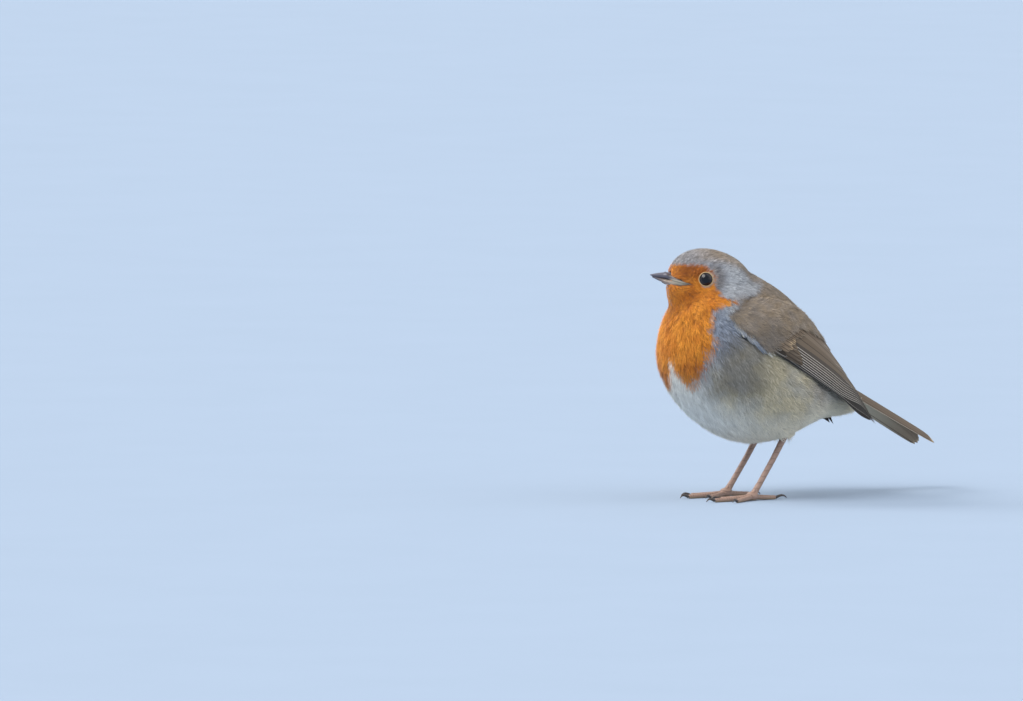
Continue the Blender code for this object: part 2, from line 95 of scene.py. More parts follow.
def straighten(points):
    turn = HEAD_TURN * ramp(NECK_LOW, NECK_HIGH, points[..., 2])
    return turned(points - HEAD_PIVOT, turn) + HEAD_PIVOT, turn


def back_and_up(points):
    """How far back and how high these places are on the bird set straight."""
    straight, _ = straighten(points)
    return straight[..., 1], straight[..., 2]


def turned(vectors, turn):
    c, s = np.cos(turn), np.sin(turn)
    x, y, z = vectors[..., 0], vectors[..., 1], vectors[..., 2]
    return np.stack([c * x - s * y, s * x + c * y, z], -1)


def on_head(ahead, aside, up):
    """A place on the turned head, in the bird's millimetres."""
    return turned(np.array([aside, -ahead, up], float), -HEAD_TURN) + HEAD_PIVOT


def head_measures(points):
    """How far ahead, aside and up of the head's middle these places are."""
    straight = turned(points - HEAD_PIVOT, HEAD_TURN)
    return -straight[..., 1], straight[..., 0], straight[..., 2]


print("the bill's tip is at", on_head(23.2, 0, 0.9).round(1))

# %% [markdown]
# Much of the plumage looks to the eyes and the bill: feathers part round an eye and shrink near it, and
# the corner of the mouth stays bare. So their places come first. The bare patch is a wedge on each side,
# from the bill's root back to a point under the eye.

# %% Places of the eyes and the bill
EYE_AXIS = unit(np.array([0.17, 0.98, 0.07]))  # ahead, aside, up
EYE_RADIUS, EYE_OPENING = 3.3, 2.35
EYE_RIM = math.sqrt(EYE_RADIUS**2 - EYE_OPENING**2)  # how far out of the ball's middle the lids hold it
BILL_ROOT = on_head(12.5, 0, -1.6)
BARE_TOP = ((9.0, -2.25), (10.9, -1.45), (14.1, -0.15), (17.0, 1.65))  # ahead, up
BARE_FOOT = ((9.0, -2.35), (10.1, -2.55), (12.7, -2.85), (17.0, -2.5))


def eye_place(side):
    """The middle of an eyeball and the way it looks, in the bird's millimetres; side is 1 for left."""
    middle = on_head(3.6, 7.0 * side, -0.6)
    ahead, aside, up = EYE_AXIS
    return middle, unit(on_head(ahead, aside * side, up) - HEAD_PIVOT)


EYES = {"left": eye_place(1), "right": eye_place(-1)}
FAR_OFF = 99.0  # millimetres, more than any distance on the head


def from_axis(points, middle, axis):
    """How far out along an axis the points are, and the way to each straight off the axis."""
    offset = points - middle
    outward = offset @ axis
    return outward, offset - outward[..., None] * axis


def off_eye(points):
    """How far each point is from the nearer eye's axis, on the side that the eye looks to."""
    found = np.full(points.shape[:-1], FAR_OFF)
    for middle, axis in EYES.values():
        outward, off = from_axis(points, middle, axis)
        found = np.minimum(found, np.where(outward > 0, np.linalg.norm(off, axis=-1), FAR_OFF))
    return found


def off_bill(points):
    return np.linalg.norm(points - BILL_ROOT, axis=-1)


def along_line(line, x):
    return np.interp(x, *zip(*line))


def bare(points):
    """Whether these places are in the bare wedge beside the bill."""
    ahead, _, up = head_measures(points)
    return (ahead > BARE_TOP[0][0]) & (up < along_line(BARE_TOP, ahead)) & (up > along_line(BARE_FOOT, ahead))


print("the left eye is at", EYES["left"][0].round(1))

# %% [markdown]
# ## Shader maths in plain expressions
# A material here is a small tree of nodes. Writing `1 - mask * 0.5` is easier to read than five nodes
# placed by hand, so a small class stands for a socket and adds a Math node for each operator.

# %% Wires and paints
class Wire:
    """A socket of a material, usable in a sum."""

    def __init__(self, paint, socket):
        self.paint, self.socket = paint, socket

    def maths(self, operation, *values):
        return self.paint.node("ShaderNodeMath", {"operation": operation}, dict(enumerate(values)))

    def __add__(self, other):
        return self.maths("ADD", self, other)

    def __sub__(self, other):
        return self.maths("SUBTRACT", self, other)

    def __rsub__(self, other):
        return self.maths("SUBTRACT", other, self)

    def __mul__(self, other):
        return self.maths("MULTIPLY", self, other)

    __radd__, __rmul__ = __add__, __mul__

    def step(self, low, high):
        """The soft step, as a node."""
        inputs = {"Value": self, "From Min": low, "From Max": high}
        return self.paint.node("ShaderNodeMapRange", {"interpolation_type": "SMOOTHSTEP"}, inputs)


class Paint:
    """One material, with its Principled shader."""

    def __init__(self, name, **fixed):
        self.material = bpy.data.materials.new(name)
        self.material.use_nodes = True
        self.tree = self.material.node_tree
        self.shader = self.tree.nodes["Principled BSDF"]
        for socket, value in fixed.items():
            self.shader.inputs[socket.replace("_", " ")].default_value = value

    def node(self, kind, settings=None, inputs=None, output=0):
        node = self.tree.nodes.new(kind)
        for name, value in (settings or {}).items():
            setattr(node, name, value)
        for name, value in (inputs or {}).items():
            self.put(node.inputs[name], value)
        return Wire(self, node.outputs[output])

    def put(self, socket, value):
        if isinstance(value, Wire):
            self.tree.links.new(value.socket, socket)
        else:
            if hasattr(socket.default_value, "__len__") and len(socket.default_value) == 4:
                value = (*value[:3], 1)
            socket.default_value = value

    def feed(self, socket, value):
        self.put(self.shader.inputs[socket], value)

    def mix(self, share, first, second):
        return self.node("ShaderNodeMix", {"data_type": "RGBA"}, {0: share, 6: first, 7: second}, 2)

    def tint(self, colour, by):
        """A colour made lighter or darker by a number."""
        return self.node("ShaderNodeVectorMath", {"operation": "SCALE"}, {0: colour, "Scale": by})

    def painted(self, name):
        return self.node("ShaderNodeAttribute", {"attribute_name": name}, output=2)

    def place(self):
        return self.node("ShaderNodeTexCoord", output=3)

    def stretched(self, vector, scale):
        return self.node("ShaderNodeMapping", {}, {"Vector": vector, "Scale": scale})

    def noise(self, scale, detail, vector=None, roughness=0.5):
        inputs = {"Vector": vector or self.place(), "Scale": scale, "Detail": detail, "Roughness": roughness}
        return self.node("ShaderNodeTexNoise", {}, inputs)

    def bump(self, height, distance, strength):
        inputs = {"Height": height, "Distance": distance, "Strength": strength}
        self.feed("Normal", self.node("ShaderNodeBump", {}, inputs))


print("materials are written as expressions from here on")

# %% [markdown]
# ## The markings
# A robin's bib runs from the forehead over the face and throat to the lower breast, where the white of the
# belly cuts into it as a wedge. A blue-grey band parts the bib from the olive-brown above, the flanks are
# grey in front and buff behind, and the belly is white. Skin and feathers both ask the same functions, so
# a gap between feathers never shows another colour. Each edge is a short line of heights and places.

# %% Where each colour lies
BIB_EDGE = (  # height, and how far back the bib reaches there
    (38, -29.4), (42, -29.2), (45, -28.6), (49.2, -28.2), (52.8, -27), (56.8, -25.4), (62, -25.6),
    (67.3, -21.5), (70.1, -15.9), (71.5, -9.2), (73.4, -13.2), (76.8, -15), (80.4, -14.6), (83.5, -16.2),
    (85, -19.5),
)
BIB_TOP, BIB_FOOT = 84.7, 39.0
WEDGE_TOP, WEDGE_ASIDE, WEDGE_SPREAD = 49.6, 1.7, 0.55
MANTLE_EDGE = ((66, -17.0), (68.4, -13.0), (71.4, -6.6), (73.6, -0.6), (76.4, 2.4), (90, 6.0))
BELLY_LINE = (  # how far back, and how high the white reaches there
    (-34, 48), (-31, 40.5), (-25.4, 33), (-16.8, 26), (-6.6, 21), (4, 19.9), (15, 22.6), (27, 26.6), (50, 28),
)


def markings(points, ragged=0.0):
    """How much of each colour the plumage has at these points, in the bird's millimetres."""
    straight, _ = straighten(points)
    aside, y, z = np.abs(straight[..., 0]), straight[..., 1] + ragged, straight[..., 2] + 0.6 * ragged
    bib = ramp(-0.9, 0.9, along_line(BIB_EDGE, z) - y) * ramp(BIB_TOP + 0.7, BIB_TOP - 0.5, z)
    bib = bib * ramp(BIB_FOOT - 3.5, BIB_FOOT + 2.5, z + 0.2 * ragged)
    wedge = ramp(-1.0, 1.0, (WEDGE_TOP - z) * WEDGE_SPREAD - np.abs(straight[..., 0] - WEDGE_ASIDE))
    ahead, _, up = head_measures(points)
    eye_ring = ramp(3.6, 2.9, off_eye(points)) * ramp(5.2, 2.6, ahead + 0.5 * up)
    bib = bib * (1 - wedge * ramp(-20, -26, y)) * (1 - 0.8 * eye_ring)
    over_belly = z - along_line(BELLY_LINE, y)
    white = np.maximum(wedge * ramp(-20, -26, y), ramp(15, 2, over_belly + 0.35 * ramp(-10, -30, y) * aside))
    crown = ramp(9.4, 5.4, aside) * (0.5 + 0.5 * ramp(-24, -13, y)) * ramp(75, 80, z)
    behind_eye = 0.55 * ramp(9.5, 4, off_eye(points)) * ramp(3.5, 0, ahead) * ramp(-6, -2, up)
    mantle = ramp(-1.6, 1.6, y - along_line(MANTLE_EDGE, z)) * ramp(64, 67, z)
    back = ramp(-1.5, 2.5, z - (57.5 - 0.5 * y)) * ramp(-14, -4, y)
    back = back * ramp(75, 71.5, z - 0.5 * ramp(0, 20, y) * y)
    rear_flank = 0.65 * ramp(8, 20, y) * ramp(33, 40, z)
    brown = np.maximum.reduce([crown * 0.9, mantle, back, rear_flank, behind_eye])
    vent = ramp(24, 34, y) * ramp(40, 34, z)
    nape = 0.26 * ramp(63, 69, z) * ramp(3, -5, ahead) * (1 - behind_eye)
    white = np.maximum(np.maximum.reduce([white, vent, nape]) * (1 - brown), 0.85 * eye_ring)
    rust = np.maximum(0.95 * ramp(77, 82, z) * ramp(-32, -25, y), 0.6 * ramp(60, 46, z) * ramp(-31.5, -27, y))
    buff_front = -25 - 8 * ramp(58, 48, z)
    buff = ramp(buff_front, buff_front + 15, y) * ramp(63, 54, z) * (1 - brown)
    cream = np.maximum((0.8 * ramp(-24, 6, y) + 0.2 * ramp(20, 34, y)) * (1 - brown), eye_ring)
    return {"bib": bib, "white": white * (1 - bib), "brown": brown * (1 - bib) * (1 - eye_ring),
            "buff": buff * (1 - bib), "cream": cream * (1 - bib), "rust": rust * bib}


def dusk_and_painted_shade(points):
    """How much of their dusky roots feathers show: painted shade on the cheek and the front flank, and the
    bib darker at its foot.
    """
    y, z = back_and_up(points)
    ahead, _, up = head_measures(points)
    # painted shade on the cheek behind the eye
    cheek = 0.6 * ramp(10, 5, off_eye(points)) * ramp(3, -1, ahead) * ramp(-8, -3, up)
    # painted shade on the front flank, beside the bib's edge
    flank = 0.72 * ramp(-28, -22, y) * ramp(0, -12, y) * ramp(66, 56, z) * ramp(33, 42, z)
    foot = 0.40 * ramp(54, 44, z) * markings(points)["bib"]
    return np.maximum.reduce([cheek, flank, foot])


print("at the throat:", {k: round(float(v), 2) for k, v in markings(on_head(6, 6, -14)).items()})

# %% [markdown]
# ## The plumage's paint
# Every feather is grey and dusky at its root and takes its own colour toward the tip. The painted shares
# from above mix the colours, each feather's own shade makes it a little lighter or darker than its
# neighbour, and the skin uses the same paint at its dusky end.

# %% Plumage paint
GREY, BROWN, OLIVE = (0.295, 0.335, 0.415), (0.335, 0.254, 0.174), (0.640, 0.545, 0.365)
WHITE, CREAM = (0.890, 0.870, 0.800), (0.830, 0.730, 0.545)
BIB_DEEP, BIB_BRIGHT, RUST = (0.560, 0.155, 0.018), (0.920, 0.390, 0.050), (0.200, 0.062, 0.016)
DUSK = (0.105, 0.098, 0.098)


def plumage_paint(name):
    paint = Paint(name, Roughness=0.8, Specular_IOR_Level=0.15, Sheen_Weight=0.06, Sheen_Roughness=0.6)
    shade, tip, is_bib = paint.painted("shade"), paint.painted("tip"), paint.painted("bib")
    patches, wide_patches = paint.noise(260, 3).step(0.32, 0.68), paint.noise(95, 3).step(0.34, 0.66)
    colour = paint.mix(paint.painted("buff") * (0.65 + 0.45 * wide_patches), GREY, OLIVE)
    # whitish strand tips: partly the feathers' pale tips, partly painted highlights on single strands
    colour = paint.mix(shade.step(0.55, 1.0) * 0.15, colour, WHITE)
    colour = paint.mix(paint.painted("white"), colour, paint.mix(paint.painted("cream"), WHITE, CREAM))
    colour = paint.mix(paint.painted("brown") * (0.86 + 0.14 * patches), colour, BROWN)
    bib = paint.mix(patches * 0.3 + wide_patches * 0.3 + shade * 0.35, BIB_DEEP, BIB_BRIGHT)
    bib = paint.mix(paint.painted("rust"), bib, paint.mix(shade * 0.6, RUST, BIB_DEEP))
    colour = paint.mix(is_bib, colour, bib)
    dusky = paint.mix(0.6, colour, DUSK)
    dusky = paint.mix(is_bib, dusky, paint.mix(0.4, BIB_DEEP, DUSK))
    colour = paint.mix(tip.step(0.05, 0.75), dusky, colour)
    contrast = 0.80 - 0.30 * is_bib - 0.35 * paint.painted("white")
    paint.feed("Base Color", paint.tint(colour, 1 + (shade - 0.5) * contrast))
    return paint.material


plumage = plumage_paint("plumage")
print("plumage paint:", len(plumage.node_tree.nodes), "nodes")

# %% [markdown]
# ## Meshes from arrays
# The long work of this bird is thousands of small feathers. One is shaped once, and numpy lays out all
# the copies, so one helper turns arrays of corners and faces into a mesh with its painted shares, its
# flat map and its shading normals.

# %% Arrays into a mesh
def smooth(piece):
    piece.data.polygons.foreach_set("use_smooth", np.ones(len(piece.data.polygons), bool))


def paint_share(piece, name, values):
    painted = piece.data.attributes.new(name, "FLOAT", "POINT")
    painted.data.foreach_set("value", np.asarray(values, np.float32).ravel())


def new_piece(name, corners, faces, material, shares, normals=None, flat=None, flat_name="OFBake"):
    """corners are in the bird's millimetres, faces a list of arrays with 3 or 4 columns; flat is the map."""
    mesh = bpy.data.meshes.new(name)
    mesh.vertices.add(len(corners))
    mesh.vertices.foreach_set("co", to_frame(corners).astype(np.float32).ravel())
    loops = np.concatenate([f.ravel() for f in faces]).astype(np.int32)
    sizes = np.concatenate([np.full(len(f), f.shape[1]) for f in faces])
    mesh.loops.add(len(loops))
    mesh.loops.foreach_set("vertex_index", loops)
    mesh.polygons.add(len(sizes))
    mesh.polygons.foreach_set("loop_start", (np.cumsum(sizes) - sizes).astype(np.int32))
    mesh.update(calc_edges=True)
    piece = bpy.data.objects.new(name, mesh)
    smooth(piece)
    for share, values in shares.items():
        paint_share(piece, share, values)
    if flat is not None:
        layer = mesh.uv_layers.new(name=flat_name)
        layer.data.foreach_set("uv", np.asarray(flat, np.float32)[loops].ravel())
    if normals is not None:
        mesh.normals_split_custom_set_from_vertices(unit(normals).astype(np.float32))
    bpy.context.scene.collection.objects.link(piece)
    mesh.materials.append(material)
    return piece


def triangles(piece):
    return sum(len(face.vertices) - 2 for face in piece.data.polygons)


def select_only(*pieces):
    bpy.ops.object.select_all(action="DESELECT")
    for piece in pieces:
        piece.select_set(True)
    bpy.context.view_layer.objects.active = pieces[0]


def apply_modifier(piece, kind, **settings):
    modifier = piece.modifiers.new(kind.lower(), kind)
    for name, value in settings.items():
        setattr(modifier, name, value)
    select_only(piece)
    bpy.ops.object.modifier_apply(modifier=modifier.name)


def copy_solids(name, *solids):
    """One new piece from copies of these solids, with their loose triangles merged."""
    copies = []
    for solid in solids:
        copied = bpy.data.objects.new(name, nodes[solid].data.copy())
        bpy.context.scene.collection.objects.link(copied)
        copies.append(copied)
    select_only(*copies)
    if len(copies) > 1:
        bpy.ops.object.join()
    piece = bpy.context.view_layer.objects.active
    piece.data.materials.clear()
    bpy.ops.object.mode_set(mode="EDIT")
    bpy.ops.mesh.select_all(action="SELECT")
    bpy.ops.mesh.remove_doubles(threshold=0.00001)
    bpy.ops.mesh.select_all(action="DESELECT")
    bpy.ops.object.mode_set(mode="OBJECT")
    return piece


def corners_of(piece):
    flat = np.empty(len(piece.data.vertices) * 3, np.float32)
    piece.data.vertices.foreach_get("co", flat)
    return to_bird(flat.reshape(-1, 3))


def normals_of(piece):
    flat = np.empty(len(piece.data.vertices) * 3, np.float32)
    piece.data.vertices.foreach_get("normal", flat)
    return flat.reshape(-1, 3).astype(float)


def move_corners(piece, corners):
    piece.data.vertices.foreach_set("co", to_frame(corners).astype(np.float32).ravel())
    piece.data.update()


print("helpers ready")

# %% [markdown]
# ## The skin
# Under its feathers a bird is much smaller than it looks. The head, neck, trunk, rump and thighs are
# copied, swollen a little so that the gaps between them close, and wrapped in one even net of squares.
# Then the skin sinks by the depth of the coat: a millimetre on the face and three on the body.

# %% One skin for the flesh
FLESH = ("head", "neck", "trunk", "rump", "thigh_left", "thigh_right")
SWELL, SKIN_NET = 0.28, 0.75
UNDER_COAT = 0.2  # how much lower than the coat's own depth the skin lies
SINKINGS = 3


def coat_depth(points):
    """How deep the coat is over the skin."""
    y, z = back_and_up(points)
    depth = 3.0 - 1.9 * ramp(64, 77, z) - 1.4 * ramp(30, 46, y) - 1.3 * ramp(27, 19, z) * ramp(-4, 4, y)
    near_bill, near_eye = off_bill(points), off_eye(points)
    depth = np.minimum(depth, 0.35 + 0.75 * ramp(2.5, 7, near_bill) + 3 * ramp(7, 16, near_bill))
    return np.minimum(depth, 0.3 + 0.8 * ramp(2.6, 5.2, near_eye) + 3 * ramp(5.2, 12, near_eye))


skin = copy_solids("skin", *FLESH, "eye_left", "eye_right")
apply_modifier(skin, "DISPLACE", strength=SWELL * MM, mid_level=0.0)
apply_modifier(skin, "REMESH", mode="VOXEL", voxel_size=SKIN_NET * MM)
apply_modifier(skin, "SMOOTH", factor=0.5, iterations=6)
for _ in range(SINKINGS):
    sunk = corners_of(skin)
    move_corners(skin, sunk - normals_of(skin) * (coat_depth(sunk)[:, None] + UNDER_COAT) / SINKINGS)
    apply_modifier(skin, "SMOOTH", factor=0.5, iterations=3)
sunk = corners_of(skin)
for middle, axis in EYES.values():  # the skin slopes to the rim of each eye, and closes under the ball
    outward, off = from_axis(sunk, middle, axis)
    aside = np.linalg.norm(off, axis=1)
    rim = EYE_RIM - 0.22 - 0.35 * (aside - EYE_OPENING)
    held = np.where(outward > 0, ramp(4.8, 3.3, aside), 0)
    sunk = sunk + (held * (rim - outward))[:, None] * axis
move_corners(skin, sunk)
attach(skin, "root")
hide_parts(*FLESH)
print("skin:", len(skin.data.polygons), "faces")

# %% [markdown]
# The skin is laid out flat once, by the angles of its own faces. Each feather later takes a tiny patch of
# this map, at the place where it grows.

# %% The skin laid flat, and its markings
select_only(skin)
bpy.ops.object.mode_set(mode="EDIT")
bpy.ops.mesh.select_all(action="SELECT")
bpy.ops.uv.smart_project(angle_limit=math.radians(66), island_margin=0.004)
bpy.ops.mesh.select_all(action="DESELECT")
bpy.ops.object.mode_set(mode="OBJECT")
skin.data.uv_layers[0].name = "skin_map"
skin_corners, skin_normals = corners_of(skin), normals_of(skin)
smooth(skin)
coat_surface = skin_corners + skin_normals * (coat_depth(skin_corners)[:, None] + UNDER_COAT)
for share, values in {**markings(coat_surface), "shade": np.full(len(skin_corners), 0.4),
                      "tip": 0.45 + 0.45 * ramp(5, 3.4, off_eye(skin_corners))}.items():
    paint_share(skin, share, values)
skin.data.materials.append(plumage)
print("skin map islands laid out on", len(skin.data.uv_layers), "map")

# %% [markdown]
# ## One small feather
# A contour feather is a short shaft with barbs on both sides. The barbs leave the shaft at a slant, curve
# forward and end on a rounded outline, loose at the tip, so that a field of them looks soft. Each barb is
# a narrow strip of two four-sided faces and a point. A few different feathers are shaped, so that no
# pattern shows when they are repeated.

# %% Feather shapes
BARB_STOPS = (0.0, 0.4, 0.76, 1.0)  # along each barb
rng = np.random.default_rng(11)


def feather_shape(barbs, barb_width, looseness):
    """Corners across, along and up, for a feather 1 long; faces; each corner's barb shade."""
    corners, squares, points, shades = [], [], [], []
    clumps = rng.uniform(0, 1, (barbs // 4 + 1, 2))
    for barb in range(barbs):
        share = barb / (barbs - 1)
        side = -1 if barb % 2 else 1
        root = 0.02 + 0.66 * share + rng.uniform(-0.03, 0.03)
        end = root + 0.40 - 0.06 * share + rng.uniform(-1, 1) * looseness * 0.10
        outline = math.sqrt(max(0.02, 1 - ((min(end, 1.04) - 0.52) / 0.56) ** 2))
        reach = side * 0.27 * outline * rng.uniform(0.35, 1.05) + rng.uniform(-1, 1) * looseness * 0.06
        lift, curl = rng.uniform(-0.02, 0.03), rng.uniform(-0.5, 1.0) * looseness * 0.05
        shade = 0.55 * clumps[barb // 4, barb % 2] + 0.45 * rng.uniform(0, 1)
        spine = []
        for t in BARB_STOPS:
            spine.append((reach * t**0.85, root + (end - root) * t**1.15, lift * t + curl * t**3))
        spine = np.array(spine)
        run = unit(np.gradient(spine, axis=0))
        across = unit(np.stack([run[:, 1], -run[:, 0], rng.uniform(-0.4, 0.4, len(run))], -1))
        first = len(corners)
        for place, out, wide in zip(spine[:-1], across[:-1], (0.75, 1.0, 0.62)):
            corners += [place - out * barb_width * wide / 2, place + out * barb_width * wide / 2]
        corners.append(spine[-1])
        shades += [shade] * 7
        squares += [(first, first + 1, first + 3, first + 2), (first + 2, first + 3, first + 5, first + 4)]
        points.append((first + 4, first + 5, first + 6))
    return np.array(corners), np.array(squares), np.array(points), np.array(shades)


KINDS = 8  # different feathers of each sort
FACE_FEATHERS = [feather_shape(14, 0.040, 0.6) for _ in range(KINDS)]
BODY_FEATHERS = [feather_shape(18, 0.023, 1.0) for _ in range(KINDS)]
BACK_FEATHERS = [feather_shape(18, 0.030, 0.5) for _ in range(KINDS)]
print("a body feather has", len(BODY_FEATHERS[0][0]), "corners and", 18 * 5, "triangles")

# %% [markdown]
# ## How the plumage lies
# Feathers point away from the bill on the head, down over the breast, and back along the flanks and the
# back to the tail. They part round the eye. The same few lengths serve as on a real robin: two to three
# millimetres on the face and seven or eight on breast, flank and back.

# %% Lie, length and spacing
def lie(points):
    """The way feathers point at these places, before they are laid on the skin."""
    straight, turn = straighten(points)
    y, z = straight[..., 1], straight[..., 2]
    rear = ramp(-16, 26, y)[..., None]
    body = (1 - rear) * np.array([0, 0.55, -0.83]) + rear * np.array([0, 0.93, -0.37])
    under = (ramp(34, 24, z) * ramp(16, 26, y))[..., None]
    body = body * (1 - under) + np.array([0, 1.0, 0.05]) * under
    from_bill = unit(straight - np.array([0, -30.0, 79.0]))
    headness = (ramp(68, 78, z) * ramp(3, -9, y))[..., None]
    way = unit(body * (1 - headness) + from_bill * headness)
    way = turned(way, -turn)
    for middle, axis in EYES.values():
        outward, aside = from_axis(points, middle, axis)
        near = np.linalg.norm(aside, axis=-1, keepdims=True)
        parting = ramp(6.0, 2.4, near) * (outward > 0)[..., None]
        way = way + 1.3 * parting * aside / np.maximum(near, 0.1)
    return unit(way)


def feather_length(points):
    y, z = back_and_up(points)
    length = 2.4 + 3.9 * ramp(80, 62, z) + 2.0 * ramp(-20, 4, y) * ramp(60, 46, z)
    length = length - 6.2 * ramp(29, 20, z) * ramp(-6, 4, y) - 4.0 * ramp(40, 50, y)
    length = length - 3.6 * ramp(33, 40, y) * ramp(34, 38, z)
    near_bill, near_eye = off_bill(points), off_eye(points)
    length = np.minimum(length, 1.3 + 1.2 * ramp(2.5, 7, near_bill) + 6 * ramp(7, 18, near_bill))
    return np.minimum(length, 1.1 + 1.3 * ramp(2.6, 5, near_eye) + 6 * ramp(5, 12, near_eye))


def spacing(points):
    return 0.44 * (feather_length(points) / 2.4) ** 0.52


skin_faces = [tuple(f.vertices) for f in skin.data.polygons]
SKIN_TREE = BVHTree.FromPolygons(to_frame(skin_corners).tolist(), skin_faces)
FACE_NORMALS = np.array([skin_normals[list(f.vertices)].mean(0) for f in skin.data.polygons])
print("longest body feather:", round(float(feather_length(skin_corners).max()), 1), "mm")

# %% [markdown]
# ## Where feathers grow
# Points are strewn over the skin by area, and one is kept only where no other is nearer than the spacing
# there. None grows in the eye's opening, the bare wedge or the bill's root.

# %% Roots on the skin
CANDIDATES = 230000


def strewn_on_skin():
    """Even points on the skin with the face and the flat place of each."""
    faces = np.array([tuple(f.vertices) for f in skin.data.polygons if len(f.vertices) == 4])
    loops = np.array([f.loop_start for f in skin.data.polygons if len(f.vertices) == 4])
    halves = np.concatenate([faces[:, [0, 1, 2]], faces[:, [0, 2, 3]]])
    half_loops = np.concatenate([loops[:, None] + [0, 1, 2], loops[:, None] + [0, 2, 3]])
    a, b, c = (skin_corners[halves[:, k]] for k in range(3))
    area = np.linalg.norm(np.cross(b - a, c - a), axis=1) / spacing((a + b + c) / 3) ** 2
    picked = rng.choice(len(halves), CANDIDATES, p=area / area.sum())
    u, v = rng.random(CANDIDATES), rng.random(CANDIDATES)
    u, v = np.where(u + v > 1, 1 - u, u), np.where(u + v > 1, 1 - v, v)
    weight = np.stack([1 - u - v, u, v], 1)
    flat = np.empty(len(skin.data.loops) * 2, np.float32)
    skin.data.uv_layers[0].data.foreach_get("uv", flat)
    place = np.einsum("nk,nkc->nc", weight, skin_corners[halves[picked]])
    normal = unit(np.einsum("nk,nkc->nc", weight, skin_normals[halves[picked]]))
    return place, normal, np.einsum("nk,nkc->nc", weight, flat.reshape(-1, 2)[half_loops[picked]])


def thinned(points, gaps):
    """Which points to keep so that none stands nearer than its gap to one kept before."""
    tree = KDTree(len(points))
    for index, point in enumerate(points):
        tree.insert(point, index)
    tree.balance()
    waiting = np.ones(len(points), bool)
    kept = []
    for index in range(len(points)):
        if waiting[index]:
            kept.append(index)
            for _, near, _ in tree.find_range(points[index], gaps[index]):
                waiting[near] = False
    return np.array(kept)


WING_PARTS = ("coverts", "secondaries", "primaries")
ROOF_SOLIDS = [f"wing_{side}_{part}" for side in SIDES for part in WING_PARTS]
ROOF_SOLIDS += ["tail_left", "tail_centre", "tail_right"]


def tree_of(*solids):
    corners, faces = [], []
    for solid in solids:
        mesh, first = nodes[solid].data, len(corners)
        corners += [tuple(v.co) for v in mesh.vertices]
        faces += [tuple(first + i for i in f.vertices) for f in mesh.polygons]
    return BVHTree.FromPolygons(corners, faces)


ROOF_TREE = tree_of(*ROOF_SOLIDS)
BILL_TREE = tree_of("bill_upper", "bill_lower")
place, normal, flat = strewn_on_skin()
open_eye = (off_eye(place) > EYE_OPENING + 0.2) & ~bare(place)
place, normal, flat = place[open_eye], normal[open_eye], flat[open_eye]
kept = thinned(place, spacing(place))
place, normal, flat = place[kept], normal[kept], flat[kept]
free = np.array([BILL_TREE.find_nearest(root, 0.45 * MM)[0] is None for root in to_frame(place)])
place, normal, flat = place[free], normal[free], flat[free]
print("feathers on the skin:", len(place))

# %% [markdown]
# ## Laying a feather on the body
# Each feather gets a guide of five points that creeps over the skin the way the plumage lies there. The
# shape from before is bent along its guide, and rises from the skin at its root to the coat's full depth.
# Under the edge of a wing or the tail it rises less, and one that is covered whole is left out.
# The shading normals lean to the skin's own, which makes a field of thin barbs look as soft as down.

# %% Guides
STEPS = 4
RISE = 0.45  # how steeply a feather rises from its root: the power of its length there
SNAP = 1.1 * MM  # past the skin's end a guide runs on straight
ROOF_REACH = 7.0


def creep(roots, normals, lengths, ways):
    """The guides' points, and the way out of the skin at each."""
    places, outs = [roots], [normals]
    here, out = roots, normals
    for step in range(STEPS):
        way = ways if step == 0 else lie(here) * 0.5 + way * 0.5
        way = unit(way - (way * out).sum(1, keepdims=True) * out)
        here = here + way * (lengths / STEPS)[:, None]
        snapped, turned_out = here.copy(), out.copy()
        for index, point in enumerate(to_frame(here)):
            found, _, face, far = SKIN_TREE.find_nearest(point)
            if far < SNAP:
                snapped[index], turned_out[index] = found, FACE_NORMALS[face]
                snapped[index] = to_bird(snapped[index])
        here, out = snapped, unit(out * 0.4 + turned_out * 0.6)
        places.append(here)
        outs.append(out)
    return np.stack(places, 1), np.stack(outs, 1)


MAP_PATCH = 0.0028  # how large a feather is on the map of the skin


